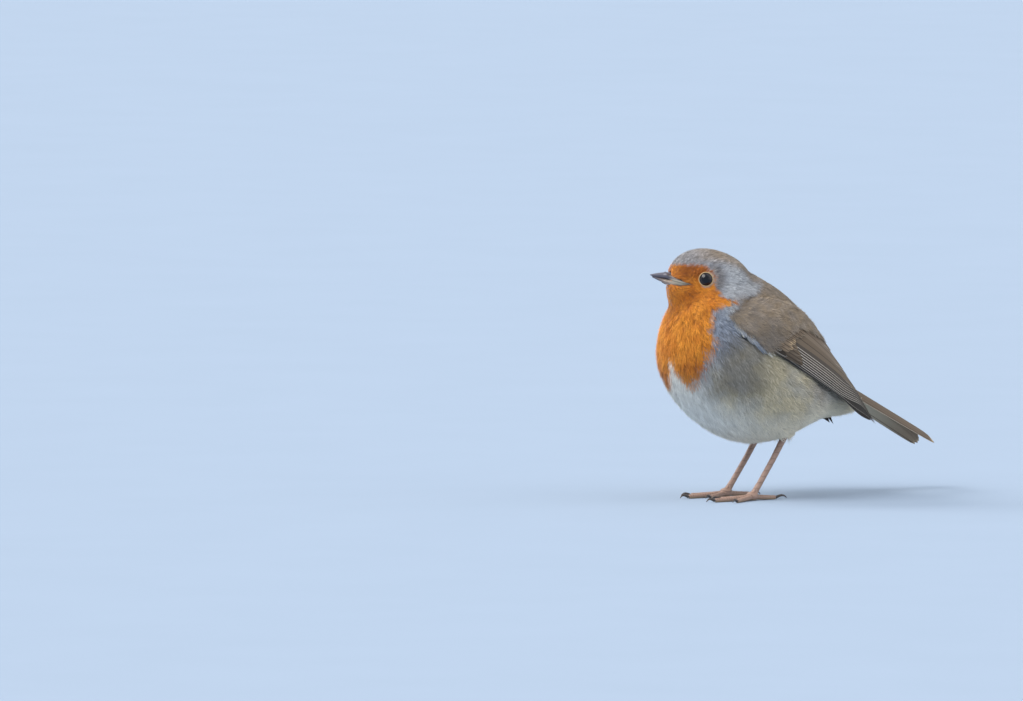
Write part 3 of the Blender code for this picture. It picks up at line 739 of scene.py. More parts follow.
def lay_feathers(name, guides, outs, lengths, depths, roots_flat, shapes, shares, fullness, start=0.0,
                 round_back=0.5):
    """One joined piece of feathers.

    roots_flat is where each grows on the skin's map, and fullness is how far its tip comes into its own
    colour, kept low where shade is painted; start is how high its root already lies, and round_back shades
    it as a rounded form.
    """
    runs = unit(np.gradient(guides, axis=1))
    sides = unit(np.cross(runs, outs))
    corners, squares, points, normals, maps, painted = [], [], [], [], [], {}
    first = 0
    kinds = rng.integers(0, len(shapes), len(guides))
    for kind, (shape, shape_squares, shape_points, barb_shades) in enumerate(shapes):
        mine = np.flatnonzero(kinds == kind)
        count, size = len(mine), len(shape)
        span = np.clip((shape[:, 1] * STEPS).astype(int), 0, STEPS - 1)
        share = (shape[:, 1] * STEPS - span)[None, :, None]

        def blend(field):
            return field[mine][:, span] * (1 - share) + field[mine][:, span + 1] * share

        length, depth = lengths[mine][:, None], depths[mine][:, None]
        wide = rng.uniform(0.85, 1.2, (count, 1))
        across, along, up = shape[:, 0][None], shape[:, 1][None], shape[:, 2][None]
        twist = rng.uniform(-0.16, 0.16, (count, 1))
        tilt = rng.uniform(-0.12, 0.12, (count, 1))
        raised = depth * (start + (1 - start) * np.clip(along, 0, 1.1) ** RISE)
        raised = raised * rng.uniform(0.88, 1.05, (count, 1))
        height = raised + (up + tilt * across) * length
        sideways = (across * wide + twist * along) * length
        out, side, run = blend(outs), blend(sides), blend(runs)
        body = blend(guides) + side * sideways[..., None] + out * height[..., None]
        corners.append(body.reshape(-1, 3))
        lean = out + round_back * side * (across * 2)[..., None] + 0.2 * run * (along - 0.35)[..., None]
        lean = lean - side * tilt[..., None] + side * (barb_shades[None, :, None] - 0.5) * round_back
        normals.append(lean.reshape(-1, 3))
        patch = np.stack([across * 3 + 0 * length, along - 0.5 + 0 * length], -1) * MAP_PATCH
        maps.append((roots_flat[mine][:, None] + patch).reshape(-1, 2))
        order = first + size * np.arange(count)[:, None, None]
        squares.append((shape_squares[None] + order).reshape(-1, 4))
        points.append((shape_points[None] + order).reshape(-1, 3))
        for key, values in shares.items():
            painted.setdefault(key, []).append(np.repeat(values[mine], size))
        shade = np.clip(rng.normal(0.5, 0.13, (count, 1)) + (barb_shades[None] - 0.5) * 0.7, 0, 1)
        painted.setdefault("shade", []).append(shade.ravel())
        tip = fullness[mine][:, None] * along
        tip = tip + (1 - tip) * 0.6 * ramp(5.0, 3.4, off_eye(body))  # round the eye no dusky roots show
        painted.setdefault("tip", []).append(tip.ravel())
        first += count * size
    painted = {key: np.concatenate(values) for key, values in painted.items()}
    faces = [np.concatenate(squares), np.concatenate(points)]
    piece = new_piece(name, np.concatenate(corners), faces, plumage, painted, np.concatenate(normals),
                      np.concatenate(maps))
    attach(piece, "root")
    print(name, len(guides), "feathers,", triangles(piece), "triangles")
    return piece


lengths = feather_length(place) * rng.uniform(0.85, 1.15, len(place))
ways = lie(place) + rng.normal(0, 0.12, place.shape)
for middle, axis in EYES.values():  # a feather in front of the eye ends before the lid
    outward, off = from_axis(place, middle, axis)
    ahead_of_eye, far = -(off * ways).sum(1), np.linalg.norm(off, axis=1)
    gap = far - EYE_OPENING - 0.5
    blocked = (ahead_of_eye > 0.5 * far) & (outward > 0)
    lengths = np.where(blocked, np.minimum(lengths, np.maximum(gap, 0.7)), lengths)
guides, outs = creep(place, normal, lengths, ways)
depths = coat_depth(guides[:, 3])
roofs = np.full(guides.shape[:2], FAR_OFF)  # a wing or the tail lies this far over each point of a guide
for step in range(STEPS + 1):
    for index, (point, out) in enumerate(zip(to_frame(guides[:, step]), outs[:, step])):
        found = ROOF_TREE.ray_cast(point, out, ROOF_REACH * MM)
        if found[0] is not None:
            roofs[index, step] = found[3] / MM
rises = np.clip(np.arange(STEPS + 1) / STEPS, 0.05, 1) ** RISE
depths = np.minimum(depths, (0.8 * roofs / rises).min(1))
seen = (roofs[:, 1:] == FAR_OFF).any(1) & (depths > 0.45)
place, flat, lengths, depths = place[seen], flat[seen], lengths[seen], depths[seen]
guides, outs = guides[seen], outs[seen]
print("guides laid:", guides.shape)

# %% [markdown]
# The coat is kept in pieces of one region each, small enough to be saved whole. A feather belongs to the
# region where it grows, and its colour is that of the place where its tip shows.
# region where it grows, and its colour is that of the place where its tip shows.

# %% The coat, region by region
shown = guides[:, 3] + outs[:, 3] * depths[:, None]
ragged = rng.normal(0, 1, len(place)) * (0.3 + 0.5 * ramp(78, 66, shown[:, 2]))
shares = markings(shown, ragged)
straight_roots, _ = straighten(place)
aside, back_of, height = straight_roots.T
HALVES = {"left": aside >= 0, "right": aside < 0}
REGIONS = {}
for half, on_half in HALVES.items():
    REGIONS[f"coat_head_{half}"] = (height > 76) & on_half
    REGIONS[f"coat_breast_{half}"] = (height <= 76) & (back_of < -12) & on_half
    REGIONS[f"coat_belly_{half}"] = (height <= 52) & (back_of >= -12) & (back_of < 16) & on_half
    REGIONS[f"coat_mantle_{half}"] = (height <= 76) & (back_of >= -12) & (height > 52) & on_half
    REGIONS[f"coat_rump_{half}"] = (height <= 52) & (back_of >= 16) & on_half
coat = []
for region, members in REGIONS.items():
    mine = np.flatnonzero(members)
    shapes = FACE_FEATHERS if "head" in region else BACK_FEATHERS if "mantle" in region else BODY_FEATHERS
    coat.append(lay_feathers(region, guides[mine], outs[mine], lengths[mine], depths[mine], flat[mine],
                             shapes, {key: values[mine] for key, values in shares.items()},
                             # painted shade on the cheek and the front flank comes in here, as a lower
                             # fullness
                             1 - dusk_and_painted_shade(shown[mine])))
print("coat:", sum(triangles(piece) for piece in coat), "triangles")

# %% [markdown]
# ## Wings
# A folded wing is a stack. The long primaries lie lowest and reach the tip, the secondaries lie on them,
# and three broad tertials close the stack at the back; only the outer edge of each feather shows, as a
# pale line. Rows of coverts cap their roots, and the little alula lies at the bend. All of it follows the
# outer face of the wing's solids: three rows of points, low, middle and high, from the shoulder to the tip.

# %% The face of the folded wing
WING_LOW = ((19.2, -20.9, 66.8), (24.5, -10.6, 57), (26.2, 3, 48.8), (25.2, 15, 42.2), (22.4, 27, 35.9),
            (18.8, 38, 29.2), (14.6, 47.4, 25.2))
WING_MIDDLE = ((20.4, -16.4, 70), (24.2, -3, 64), (25.2, 7.5, 58), (23, 19, 50.6), (18.8, 30.5, 43),
               (15.2, 39.8, 35.6), (13.2, 48.2, 26.9))
WING_HIGH = ((17.8, -10, 73.6), (18.8, 3, 71.6), (16.4, 14.6, 66.6), (11.6, 24.4, 59), (5.4, 34.4, 51.2),
             (7, 41.4, 40.8), (11.8, 47.7, 28.9))
WING_LENGTH = 80.0
DROOP, DROOP_FROM, DROOP_OVER = 2.6, 24, 23
MIRROR, TINY = (-1, 1, 1), 0.01


def through(points, share):
    """A smooth line through points, at shares of its length; past its ends it runs on."""
    points = np.asarray(points, float)
    last = len(points) - 1
    points = np.vstack([2 * points[0] - points[1], points, 2 * points[-1] - points[-2]])
    at = np.asarray(share, float) * last
    span = np.clip(np.floor(at), 0, last - 1).astype(int)
    f = (at - span)[..., None]
    a, b, c, d = (points[span + k] for k in range(4))
    return 0.5 * (2 * b + (c - a) * f + (2 * a - 5 * b + 4 * c - d) * f**2 + (3 * b - a - 3 * c + d) * f**3)


def wing_face(along, across):
    """A place on the left wing's outer face: along from the bend to the tip, across from its lower edge."""
    along, across = np.broadcast_arrays(np.asarray(along, float), np.asarray(across, float))
    low, middle, high = (through(row, along) for row in (WING_LOW, WING_MIDDLE, WING_HIGH))
    c = across[..., None]
    return 2 * (c - 0.5) * (c - 1) * low + 4 * c * (1 - c) * middle + 2 * c * (c - 0.5) * high


def face_out(face, along, across):
    """The way out of a face given by two shares."""
    run = face(along + TINY, across) - face(along - TINY, across)
    rise = face(along, across + TINY) - face(along, across - TINY)
    return unit(np.cross(run, rise))


def wing_span(along):
    """How far it is across the wing's face, in millimetres."""
    steps = [wing_face(along, share) for share in np.linspace(0, 1, 9)]
    return sum(np.linalg.norm(b - a, axis=-1) for a, b in zip(steps, steps[1:]))


def droop(points):
    """The far wing's tip hangs a little lower than the near one's."""
    points[..., 2] -= DROOP * (np.maximum(points[..., 1] - DROOP_FROM, 0) / DROOP_OVER) ** 2


print("wing span at its middle:", round(float(wing_span(0.5)), 1), "mm")

# %% [markdown]
# A long feather is a net of faces: narrow at its root, straight along most of its edge, and rounded at
# its tip. Its shaft lies nearer the outer edge on the primaries. It is cupped across, its outer edge turns
# down, and here and there its barbs have parted and leave a small notch.

# %% A long feather
ROWS, COLUMNS = 30, 12
WEAR = 0.5


def net(rows, columns):
    """The squares between rows and columns of corners."""
    index = np.arange(rows * columns).reshape(rows, columns)
    return np.stack([index[:-1, :-1], index[:-1, 1:], index[1:, 1:], index[1:, :-1]], -1).reshape(-1, 4)


def vane(face, span, edge, reach, width, lift, tone, seed, pale=0.5, spot=0.0, shaft=0.3, tip=5.0, cup=0.22,
         ridge=0.10, fading=0.0):
    """One feather on a face that is span wide.

    edge gives the place across of its outer edge for each place along; reach is its first and last place
    along; width and lift are in millimetres; tone 0 is the dusky brown of the flight feathers and 1 the
    brown of the coverts. pale is its fringe's strength, spot that of a buff spot at its tip, and fading
    how much of the fringe is lost toward the tip. shaft is the place across of the shaft, and a higher
    tip makes a blunter end. Returns corners, faces, normals and painted shares.
    """
    pick = np.random.default_rng(seed)
    t = np.linspace(0, 1, ROWS)[:, None]
    x = np.linspace(0, 1, COLUMNS)[None]
    rounding = np.sqrt(np.clip(1 - t**tip, 0.0, 1)) * (0.55 + 0.45 * ramp(0, 0.25, t))
    notch = np.zeros((ROWS, 1))
    for _ in range(3):
        notch += WEAR * pick.uniform(0, 0.07) * np.exp(-((t - pick.uniform(0.4, 0.95)) / 0.025) ** 2)
    ragged = WEAR * 0.02 * pick.normal(0, 1, (ROWS, 1))
    inner = rounding * (1 - notch) + ragged * ramp(0, 0.2, t)
    place = shaft + np.where(x > shaft, (x - shaft) * inner, (x - shaft) * rounding)
    along = np.broadcast_to(reach[0] + (reach[1] - reach[0]) * t, (ROWS, COLUMNS))
    share = np.minimum(width / span(along), 1.02 - edge(along))  # it narrows where the face ends
    across = edge(along) + place * share
    wide = share * span(along)
    here = face(along, across)
    out = face_out(face, along, across)
    side = unit(face(along, across + 0.02) - here)
    cupped = -cup * ((place - 0.45) / 0.55) ** 2 * np.clip(width / 6, 0.3, 1.2)
    shaft_rise = ridge * np.exp(-((place - shaft) * wide / 0.22) ** 2)
    height = lift[0] + (lift[1] - lift[0]) * t + cupped + shaft_rise
    corners = here + out * height[..., None]
    slope = np.gradient(height, axis=1) / np.maximum(np.gradient(place * wide, axis=1), 0.05)
    normals = unit(out - side * np.clip(slope, -1.5, 1.5)[..., None])
    long = np.linalg.norm(np.diff(here[:, COLUMNS // 2], axis=0), axis=1).sum()
    shares = {
        "outer": (place - place[:, :1]) * wide, "shaft": (place - shaft) * wide, "along": t * long,
        "from_tip": (1 - t) * long, "tone": tone, "pale": pale * (1 - fading * ramp(0.6, 0.95, t)),
        "spot": spot, "shade": pick.uniform(0, 1), "under": 0.0,
    }
    shares = {key: np.broadcast_to(values, place.shape).ravel() for key, values in shares.items()}
    return corners.reshape(-1, 3), net(ROWS, COLUMNS), normals.reshape(-1, 3), shares


def facing(corners, squares, normals):
    """The squares, each turned over if it looks away from the side that its corners' normals point to."""
    a, b, c = (corners[squares[:, k]] for k in range(3))
    away = (np.cross(b - a, c - b) * normals[squares[:, 0]]).sum(1) < 0
    return np.where(away[:, None], squares[:, ::-1], squares)


def join_vanes(name, vanes, mirrored, material):
    """One piece of many feathers, turned over to the right side when asked."""
    corners, squares, normals, painted, first = [], [], [], {}, 0
    for body, faces, outs, shares in vanes:
        corners.append(body)
        squares.append(faces + first)
        normals.append(outs)
        for key, values in shares.items():
            painted.setdefault(key, []).append(values)
        first += len(body)
    corners, squares, normals = np.concatenate(corners), np.concatenate(squares), np.concatenate(normals)
    if mirrored:
        corners, normals = corners * MIRROR, normals * MIRROR
    squares = facing(corners, squares, normals)
    painted = {key: np.concatenate(values) for key, values in painted.items()}
    flat = np.stack([painted["shaft"], painted["along"]], -1) * 0.01
    return new_piece(name, corners, [squares], material, painted, normals, flat, "vane")


print("a long feather has", 2 * (ROWS - 1) * (COLUMNS - 1), "triangles")

# %% [markdown]
# The paint of a long feather follows its own measures: how far a point is from the outer edge, the shaft
# and the tip. The outer edge has a pale fringe, the shaft is dark, and the barbs run out from it at a
# slant as fine streaks.

# %% Vane paint
FLIGHT, COVERT, FRINGE = (0.014, 0.012, 0.011), (0.225, 0.162, 0.110), (0.680, 0.610, 0.520)
SHAFT_DARK, SPOT = (0.030, 0.022, 0.018), (0.600, 0.430, 0.250)
LINING, LINING_END = (0.430, 0.370, 0.270), (0.250, 0.185, 0.125)


def vane_paint(name):
    paint = Paint(name, Roughness=0.6, Specular_IOR_Level=0.14)
    outer, shaft, along, from_tip = (paint.painted(n) for n in ("outer", "shaft", "along", "from_tip"))
    width = paint.node("ShaderNodeMath", {"operation": "ABSOLUTE"}, {0: shaft})
    barbs = paint.node("ShaderNodeCombineXYZ", {}, {"X": along - width * 0.9, "Y": shaft * 0.25})
    streaks = paint.noise(3.2, 4, barbs, 0.65)
    fine = paint.node("ShaderNodeTexWave", {"bands_direction": "X"},
                      {"Vector": barbs, "Scale": 1.1, "Distortion": 1.5, "Detail": 2.0})
    colour = paint.mix(paint.painted("tone"), FLIGHT, COVERT)
    outer_web = shaft.step(0.05, -0.25) * paint.painted("pale")
    colour = paint.mix(outer_web * 0.05, colour, FRINGE)
    colour = paint.mix(paint.painted("under"), colour, paint.mix(along.step(18, 46), LINING, LINING_END))
    fringe = outer.step(0.30, 0.13) * paint.painted("pale")
    colour = paint.mix(fringe, colour, FRINGE)
    end_fringe = from_tip.step(0.9, 0.2) * paint.painted("pale") * 0.6
    colour = paint.mix(end_fringe, colour, FRINGE)
    spotted = from_tip.step(2.2, 0.6) * paint.painted("spot") * (0.4 + 0.6 * streaks)
    colour = paint.mix(spotted, colour, SPOT)
    colour = paint.mix(width.step(0.20, 0.05) * 0.8, colour, SHAFT_DARK)
    bright = 0.72 + 0.36 * streaks + 0.09 * fine + 0.24 * paint.painted("shade")
    paint.feed("Base Color", paint.tint(colour, bright))
    paint.feed("Roughness", 0.52 + 0.2 * streaks)
    paint.bump(fine * 0.4 + streaks * 0.6, 0.00006, 0.4)
    return paint.material


vanes_paint = vane_paint("vane")
print("vane paint:", len(vanes_paint.node_tree.nodes), "nodes")

# %% Flight feathers and coverts of one wing
STACK = 9
STACK_TIPS = (0.97, 1.015, 1.035, 1.02, 0.995, 0.965, 0.93, 0.90, 0.87)
# The lower edge of each tertial at its root, how far that rises, the end and the width.
TERTIALS = ((0.36, 0.12, 0.815, 8.6), (0.54, 0.12, 0.70, 8.4), (0.74, 0.10, 0.60, 7.6))
ALULA = ((0.015, 0.285, 3.4), (0.05, 0.25, 3.2))  # the lower edge, the end and the width of each
MEDIAN_COVERTS = ((0.285, 0.10, 11), (0.235, 0.06, 12))  # the end, the lower edge and the count of each row
FAR_TIPS_SHORTER = 0.03


def stack_edge(place):
    """The outer edge of a feather of the stack: the two longest lie at the lower edge, the others above."""
    def edge(along):
        if place < 2:
            return -0.01 + 0.035 * place + 0.12 * place * ramp(0.65, 0.97, along)
        share = (place - 2) / (STACK - 3)
        spread = 0.065 + 0.25 * share + ramp(0.36, 0.65, along) * (0.04 * share - 0.01)
        return spread + ramp(0.62, 0.97, along) * (0.38 - 0.05 * share)
    return edge


def wing_vanes(shorter):
    """The feathers of one folded wing; shorter is how much its tips stay back."""
    vanes = []

    def add(*values, **more):
        vanes.append(vane(wing_face, wing_span, *values, seed=len(vanes), **more))

    for place in range(STACK):  # primaries first, then secondaries
        add(stack_edge(place), (0.16, STACK_TIPS[place] - shorter), 6.2 + 0.35 * place,
            (-1.25 + 0.10 * place,) * 2, 0.03 + 0.02 * place, pale=(0.15, 0.5)[place] if place < 2 else 0.95,
            tip=5.0 if 1 < place < 5 else 3.6, cup=0.02, ridge=0.03, fading=0.7)
    for place in range(3):  # inner secondaries, mostly hidden
        add(lambda along, p=place: 0.44 + 0.13 * p + 0 * along, (0.2, 0.82 - 0.03 * place), 8.0,
            (-0.42 + 0.05 * place,) * 2, 0.5, pale=0.3, tip=3.0, cup=0.1)
    for place, (start, drift, end, wide) in enumerate(TERTIALS):
        add(lambda along, s=start, d=drift: s + d * ramp(0.3, 0.85, along), (0.2, end), wide,
            (-0.26 + 0.12 * place,) * 2, 0.68, pale=0.45, shaft=0.34, tip=3.6, cup=0.35)
    for place in range(9):  # primary coverts and greater coverts, from the lower edge up
        low = 0.062 * place
        end = 0.375 - 0.085 * ramp(0, 5, place) + 0.05 * ramp(5, 8, place)
        add(lambda along, c=low: c + 0.02 * ramp(0.1, 0.35, along), (0.08, end), 4.6,
            (-0.42 + 0.03 * place, -0.22 + 0.05 * place), 0.62 - 0.2 * ramp(4, 0, place), pale=0.12,
            spot=0.5 if place in (4, 5) else 0.08, shaft=0.36, tip=3.4, cup=0.3)
    for place, (low, end, wide) in enumerate(ALULA):
        add(lambda along, c=low: c + 0.05 * ramp(0.28, 0.1, along), (0.06, end), wide,
            (0.02 + 0.1 * place, 0.14 + 0.1 * place), 0.12 + 0.2 * place, pale=0.45, tip=3.0)
    for row, (end, first, count) in enumerate(MEDIAN_COVERTS):
        for place in range(count):
            low = first + 0.066 * place
            last = end + 0.012 * (place % 2) + 0.03 * ramp(3, 9, place)
            spot = 0.6 if row == 0 and place in (1, 2, 3) else 0.0
            add(lambda along, c=low: c + 0 * along, (end - 0.13, last), 3.4,
                (-0.2 + 0.3 * row, 0.1 + 0.3 * row), 0.95, pale=0.0, spot=spot, shaft=0.45, tip=2.6, cup=0.4)
    return vanes


wings = {}
for side in SIDES:
    far = side == "right"
    feathers = wing_vanes(FAR_TIPS_SHORTER if far else 0.0)
    if far:
        for corners, *_ in feathers:
            droop(corners)
    wings[side] = join_vanes(f"wing_{side}_vanes", feathers, far, vanes_paint)
    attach(wings[side], "root")
    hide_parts(*[f"wing_{side}_{part}" for part in WING_PARTS])
print("wing:", triangles(wings["left"]), "triangles each")

# %% [markdown]
# The bend and shoulder of a folded wing hide under small soft feathers, the lesser coverts and the
# scapulars of the back. They are body feathers, so the same shapes are strewn over the wing's face,
# farther back along its upper edge. There they roll over the brim, so that the wing lies on the back.

# %% Lesser coverts and scapulars
WING_BRIM, ROLL_DEPTH = 0.97, 20.0
COVERT_CANDIDATES, COVERT_GAP = 21000, 0.62


def rolled(along, across):
    """The wing's face; past its upper brim it turns in toward the back and closes the gap there."""
    along, across = np.broadcast_arrays(np.asarray(along, float), np.asarray(across, float))
    held, over = np.minimum(across, WING_BRIM), np.maximum(across - WING_BRIM, 0)
    return wing_face(along, held) - face_out(wing_face, along, held) * (over * ROLL_DEPTH)[..., None]


def strewn_on_wing():
    """Even places on the wing's shoulder and its rolled brim: along and across its face."""
    along = rng.uniform(0.0, 0.62, COVERT_CANDIDATES)
    across = rng.uniform(-0.02, 1.30, COVERT_CANDIDATES)
    reach = 0.225 + 0.04 * ramp(0.2, 0.5, across) + 0.27 * ramp(0.55, 1.0, across)
    inside = along < reach - 0.05 + rng.uniform(-0.015, 0.015, len(along))
    along, across = along[inside], across[inside]
    here = rolled(along, across)
    kept = thinned(here, np.full(len(here), COVERT_GAP))
    return along[kept], across[kept]


def wing_coat(side, mirror):
    along, across = strewn_on_wing()
    silver = (across < 0.03) & (along < 0.16)  # the pale edge from the bend back
    long = (4.6 + 1.4 * ramp(0.4, 1.0, across) + 1.6 * silver) * rng.uniform(0.85, 1.15, len(along))
    slant = (rng.normal(0.0, 0.10, len(along)) - 0.10 * ramp(0.5, 1.0, across)) * np.where(silver, 0.3, 1)
    share = np.linspace(0, 1, STEPS + 1)[None]
    run = along[:, None] + share * (long * np.cos(slant))[:, None] / WING_LENGTH
    rise = across[:, None] + share * (long * np.sin(slant))[:, None] / wing_span(along)[:, None]
    guides, outs = rolled(run, rise), face_out(rolled, run, rise)
    outs = unit(outs + face_out(wing_face, run, np.minimum(rise, WING_BRIM)))
    guides = guides - outs * (0.9 + 14 * np.maximum(0.04 - along, 0))[:, None, None]
    if mirror:
        guides, outs = guides * MIRROR, outs * MIRROR
        droop(guides)
    shares = {key: 0.0 * along for key in ("bib", "white", "buff", "cream", "rust")}
    shares["white"] = silver * rng.choice([0.0, 0.3, 0.8], len(along))
    shares["cream"] = 0.35 * silver
    shares["brown"] = np.where(silver, 0.0, 1.0)
    flat = np.stack([0.05 + along, 0.05 + 0.3 * across], -1)
    depth = 1.35 + 0.4 * ramp(0.3, 0.12, along) * ramp(0.02, 0.08, along) - 0.7 * silver
    depth = depth - 0.9 * ramp(0.93, 1.02, across)
    full = 0.42 + 0.58 * np.maximum.reduce([ramp(0.25, 0.7, across), ramp(0.10, 0, along), silver])
    lay_feathers(f"coat_wing_{side}", guides, outs, long, depth, flat, BACK_FEATHERS, shares, full,
                 start=0.3, round_back=0.3)


for side in SIDES:
    wing_coat(side, side == "right")

# %% [markdown]
# ## Tail
# Twelve feathers make the tail. The middle pair lies on top and the outermost lowest, so from below the
# outer ones show whole. Its halves slope down like a roof, and its end has a shallow notch. Each feather
# has a second face underneath, which takes the pale colour of the tail's lining.

# %% Tail feathers
TAIL_ROOT = np.array([0, 38.4, 41.5])
TAIL_SLOPE, TAIL_ROLL = math.radians(28.2), math.radians(-5)
TAIL_LENGTH, TAIL_HALF, TAIL_SPREAD = 48.2, 6.2, 1.6
TAIL_TENTS, TAIL_RIDGE, TAIL_END_BEND = (math.radians(44), math.radians(30)), 1.4, 0.9
TAIL_PAIRS, LINING_GAP = 6, 0.07


def tail_face(along, across):
    """A place on the tail's upper face; across runs from -1 at its right edge to 1 at its left."""
    along, across = np.broadcast_arrays(np.asarray(along, float), np.asarray(across, float))
    aside = across * (TAIL_HALF + TAIL_SPREAD * along)
    tent = TAIL_TENTS[0] + (TAIL_TENTS[1] - TAIL_TENTS[0]) * along
    drop = np.sin(tent) * (np.hypot(aside, TAIL_RIDGE) - TAIL_RIDGE)
    drop = drop + TAIL_END_BEND * along**3 * np.maximum(-across, 0)
    back, aside = along * TAIL_LENGTH, aside * np.cos(tent)
    x, rise = math.cos(TAIL_ROLL) * aside, math.sin(TAIL_ROLL) * aside - drop
    slope_c, slope_s = math.cos(TAIL_SLOPE), math.sin(TAIL_SLOPE)
    return TAIL_ROOT + np.stack([x, slope_c * back + slope_s * rise, -slope_s * back + slope_c * rise], -1)


def tail_span(along):
    return TAIL_HALF + TAIL_SPREAD * along


def tail_vanes():
    vanes = []
    for pair in range(TAIL_PAIRS):  # the outermost pair first
        for side in (1, -1):
            edge = 0.99 - 0.135 * pair

            def face(along, across, side=side):
                return tail_face(along, side * across)

            reach = (-0.05, 0.99 - 0.030 * max(pair - 2, 0) + 0.008 * (pair == 1))
            corners, squares, normals, shares = vane(
                face, tail_span, lambda along, e=edge: e + 0 * along, reach, -5.4,
                (-0.95 + 0.16 * pair + 0.02 * side,) * 2, 0.50 + 0.03 * pair, 40 + 2 * pair + side, spot=0.7,
                shaft=0.22 if pair < 4 else 0.4, tip=12 + 7 * side, cup=0.12)
            for key in ("outer", "shaft"):
                shares[key] = -shares[key]
            if normals[:, 2].mean() < 0:
                normals = -normals
            vanes.append((corners, squares, normals, shares))
            lining = {**shares, "under": 1 + 0 * shares["under"]}
            vanes.append((corners - normals * LINING_GAP, squares, -normals, lining))
    return vanes


tail = join_vanes("tail_vanes", tail_vanes(), False, vanes_paint)
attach(tail, "root")
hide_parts("tail_centre", "tail_left", "tail_right")
print("tail:", triangles(tail), "triangles")

# %% [markdown]
# ## Eyes and lids
# A robin's eye is large, round and nearly black, with a brown iris that only shows close up. A ball with
# a slightly raised clear front sits in the socket, and a thin ring of bare buff skin, the lids, holds it.
# The ring is a torus round the eye's axis and joins the skin.

# %% Eyes
WRINKLES = 23


def eye_paint():
    paint = Paint("eye", Roughness=0.3, Specular_IOR_Level=0.0, Coat_Weight=0.7, Coat_Roughness=0.05)
    turn = paint.painted("from_pupil")
    rays = paint.noise(2600, 3)
    iris = paint.mix(rays, (0.010, 0.009, 0.012), (0.024, 0.019, 0.020))
    colour = paint.mix(turn.step(1.45, 1.60), (0.002, 0.003, 0.006), iris)
    colour = paint.mix(turn.step(1.95, 2.30), colour, (0.003, 0.003, 0.003))
    paint.feed("Base Color", colour)
    return paint.material


def lid_paint():
    paint = Paint("lid", Roughness=0.6, Specular_IOR_Level=0.35)
    grain = paint.noise(2200, 3)
    paint.feed("Base Color", paint.mix(grain, (0.40, 0.25, 0.11), (0.60, 0.43, 0.23)))
    paint.bump(grain, 0.00006, 0.6)
    return paint.material


def round_piece(add, place, axis, material, **sizes):
    """A smooth ball or ring round an axis; add is the operator that makes it."""
    bpy.ops.object.select_all(action="DESELECT")
    add(location=to_frame(place), rotation=Vector(axis).to_track_quat("Z", "Y").to_euler(), **sizes)
    bpy.ops.object.transform_apply(location=True, rotation=True, scale=True)
    piece = bpy.context.object
    smooth(piece)
    piece.data.materials.append(material)
    return piece


def eyeball(side):
    middle, axis = EYES[side]
    ball = round_piece(bpy.ops.mesh.primitive_uv_sphere_add, middle, axis, eyes_paint,
                       segments=64, ring_count=40, radius=EYE_RADIUS * MM)
    ball.name = f"eyeball_{side}"
    corners = corners_of(ball)
    outward, off = from_axis(corners, middle, axis)
    aside = np.linalg.norm(off, axis=1)
    raised = 0.16 * ramp(2.3, 0.6, aside) * (outward > 0)
    move_corners(ball, corners + raised[:, None] * axis)
    paint_share(ball, "from_pupil", np.where(outward > 0, aside, FAR_OFF))
    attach(ball, "root")
    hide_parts(f"eye_{side}")


def lids(side):
    """A ring of skin, narrower in front and behind, where the two lids meet."""
    middle, axis = EYES[side]
    ring = round_piece(bpy.ops.mesh.primitive_torus_add, middle + axis * (EYE_RIM - 0.05), axis, lids_paint,
                       major_segments=72, minor_segments=16, major_radius=(EYE_OPENING + 0.10) * MM,
                       minor_radius=0.17 * MM)
    corners = corners_of(ring)
    _, off = from_axis(corners, middle, axis)
    round_eye = unit(off) @ unit(np.cross(axis, (0, 0, 1)))
    wrinkle = 0.03 * np.sin(np.arctan2(unit(off)[:, 2], round_eye) * WRINKLES)
    move_corners(ring, corners + axis * (wrinkle - 0.10 * np.abs(round_eye) ** 6)[:, None])
    return ring


eyes_paint, lids_paint = eye_paint(), lid_paint()
for side in SIDES:
    eyeball(side)
    ring = lids(side)
    select_only(skin, ring)
    bpy.context.view_layer.objects.active = skin
    bpy.ops.object.join()
print("lids joined to the skin:", len(skin.data.materials), "paints")

# %% [markdown]
# ## Bill
# The bill is horn: dark at its tip and along its ridge, paler at the root of its lower half. The solids
# have its shape, so their copies are wrapped in a fine even net and smoothed, and each nostril is pressed
# in near the root. Its hollow, and the crease where the two halves meet, are darkened with painted shade.

# %% Bill
BILL_AHEAD, GAPE_AT_TIP, GAPE_SLOPE = 23.2, 0.7, 0.235


def gape_height(ahead, up):
    """Height over the line where the two halves of the bill meet."""
    return up - GAPE_AT_TIP + GAPE_SLOPE * (BILL_AHEAD - ahead)


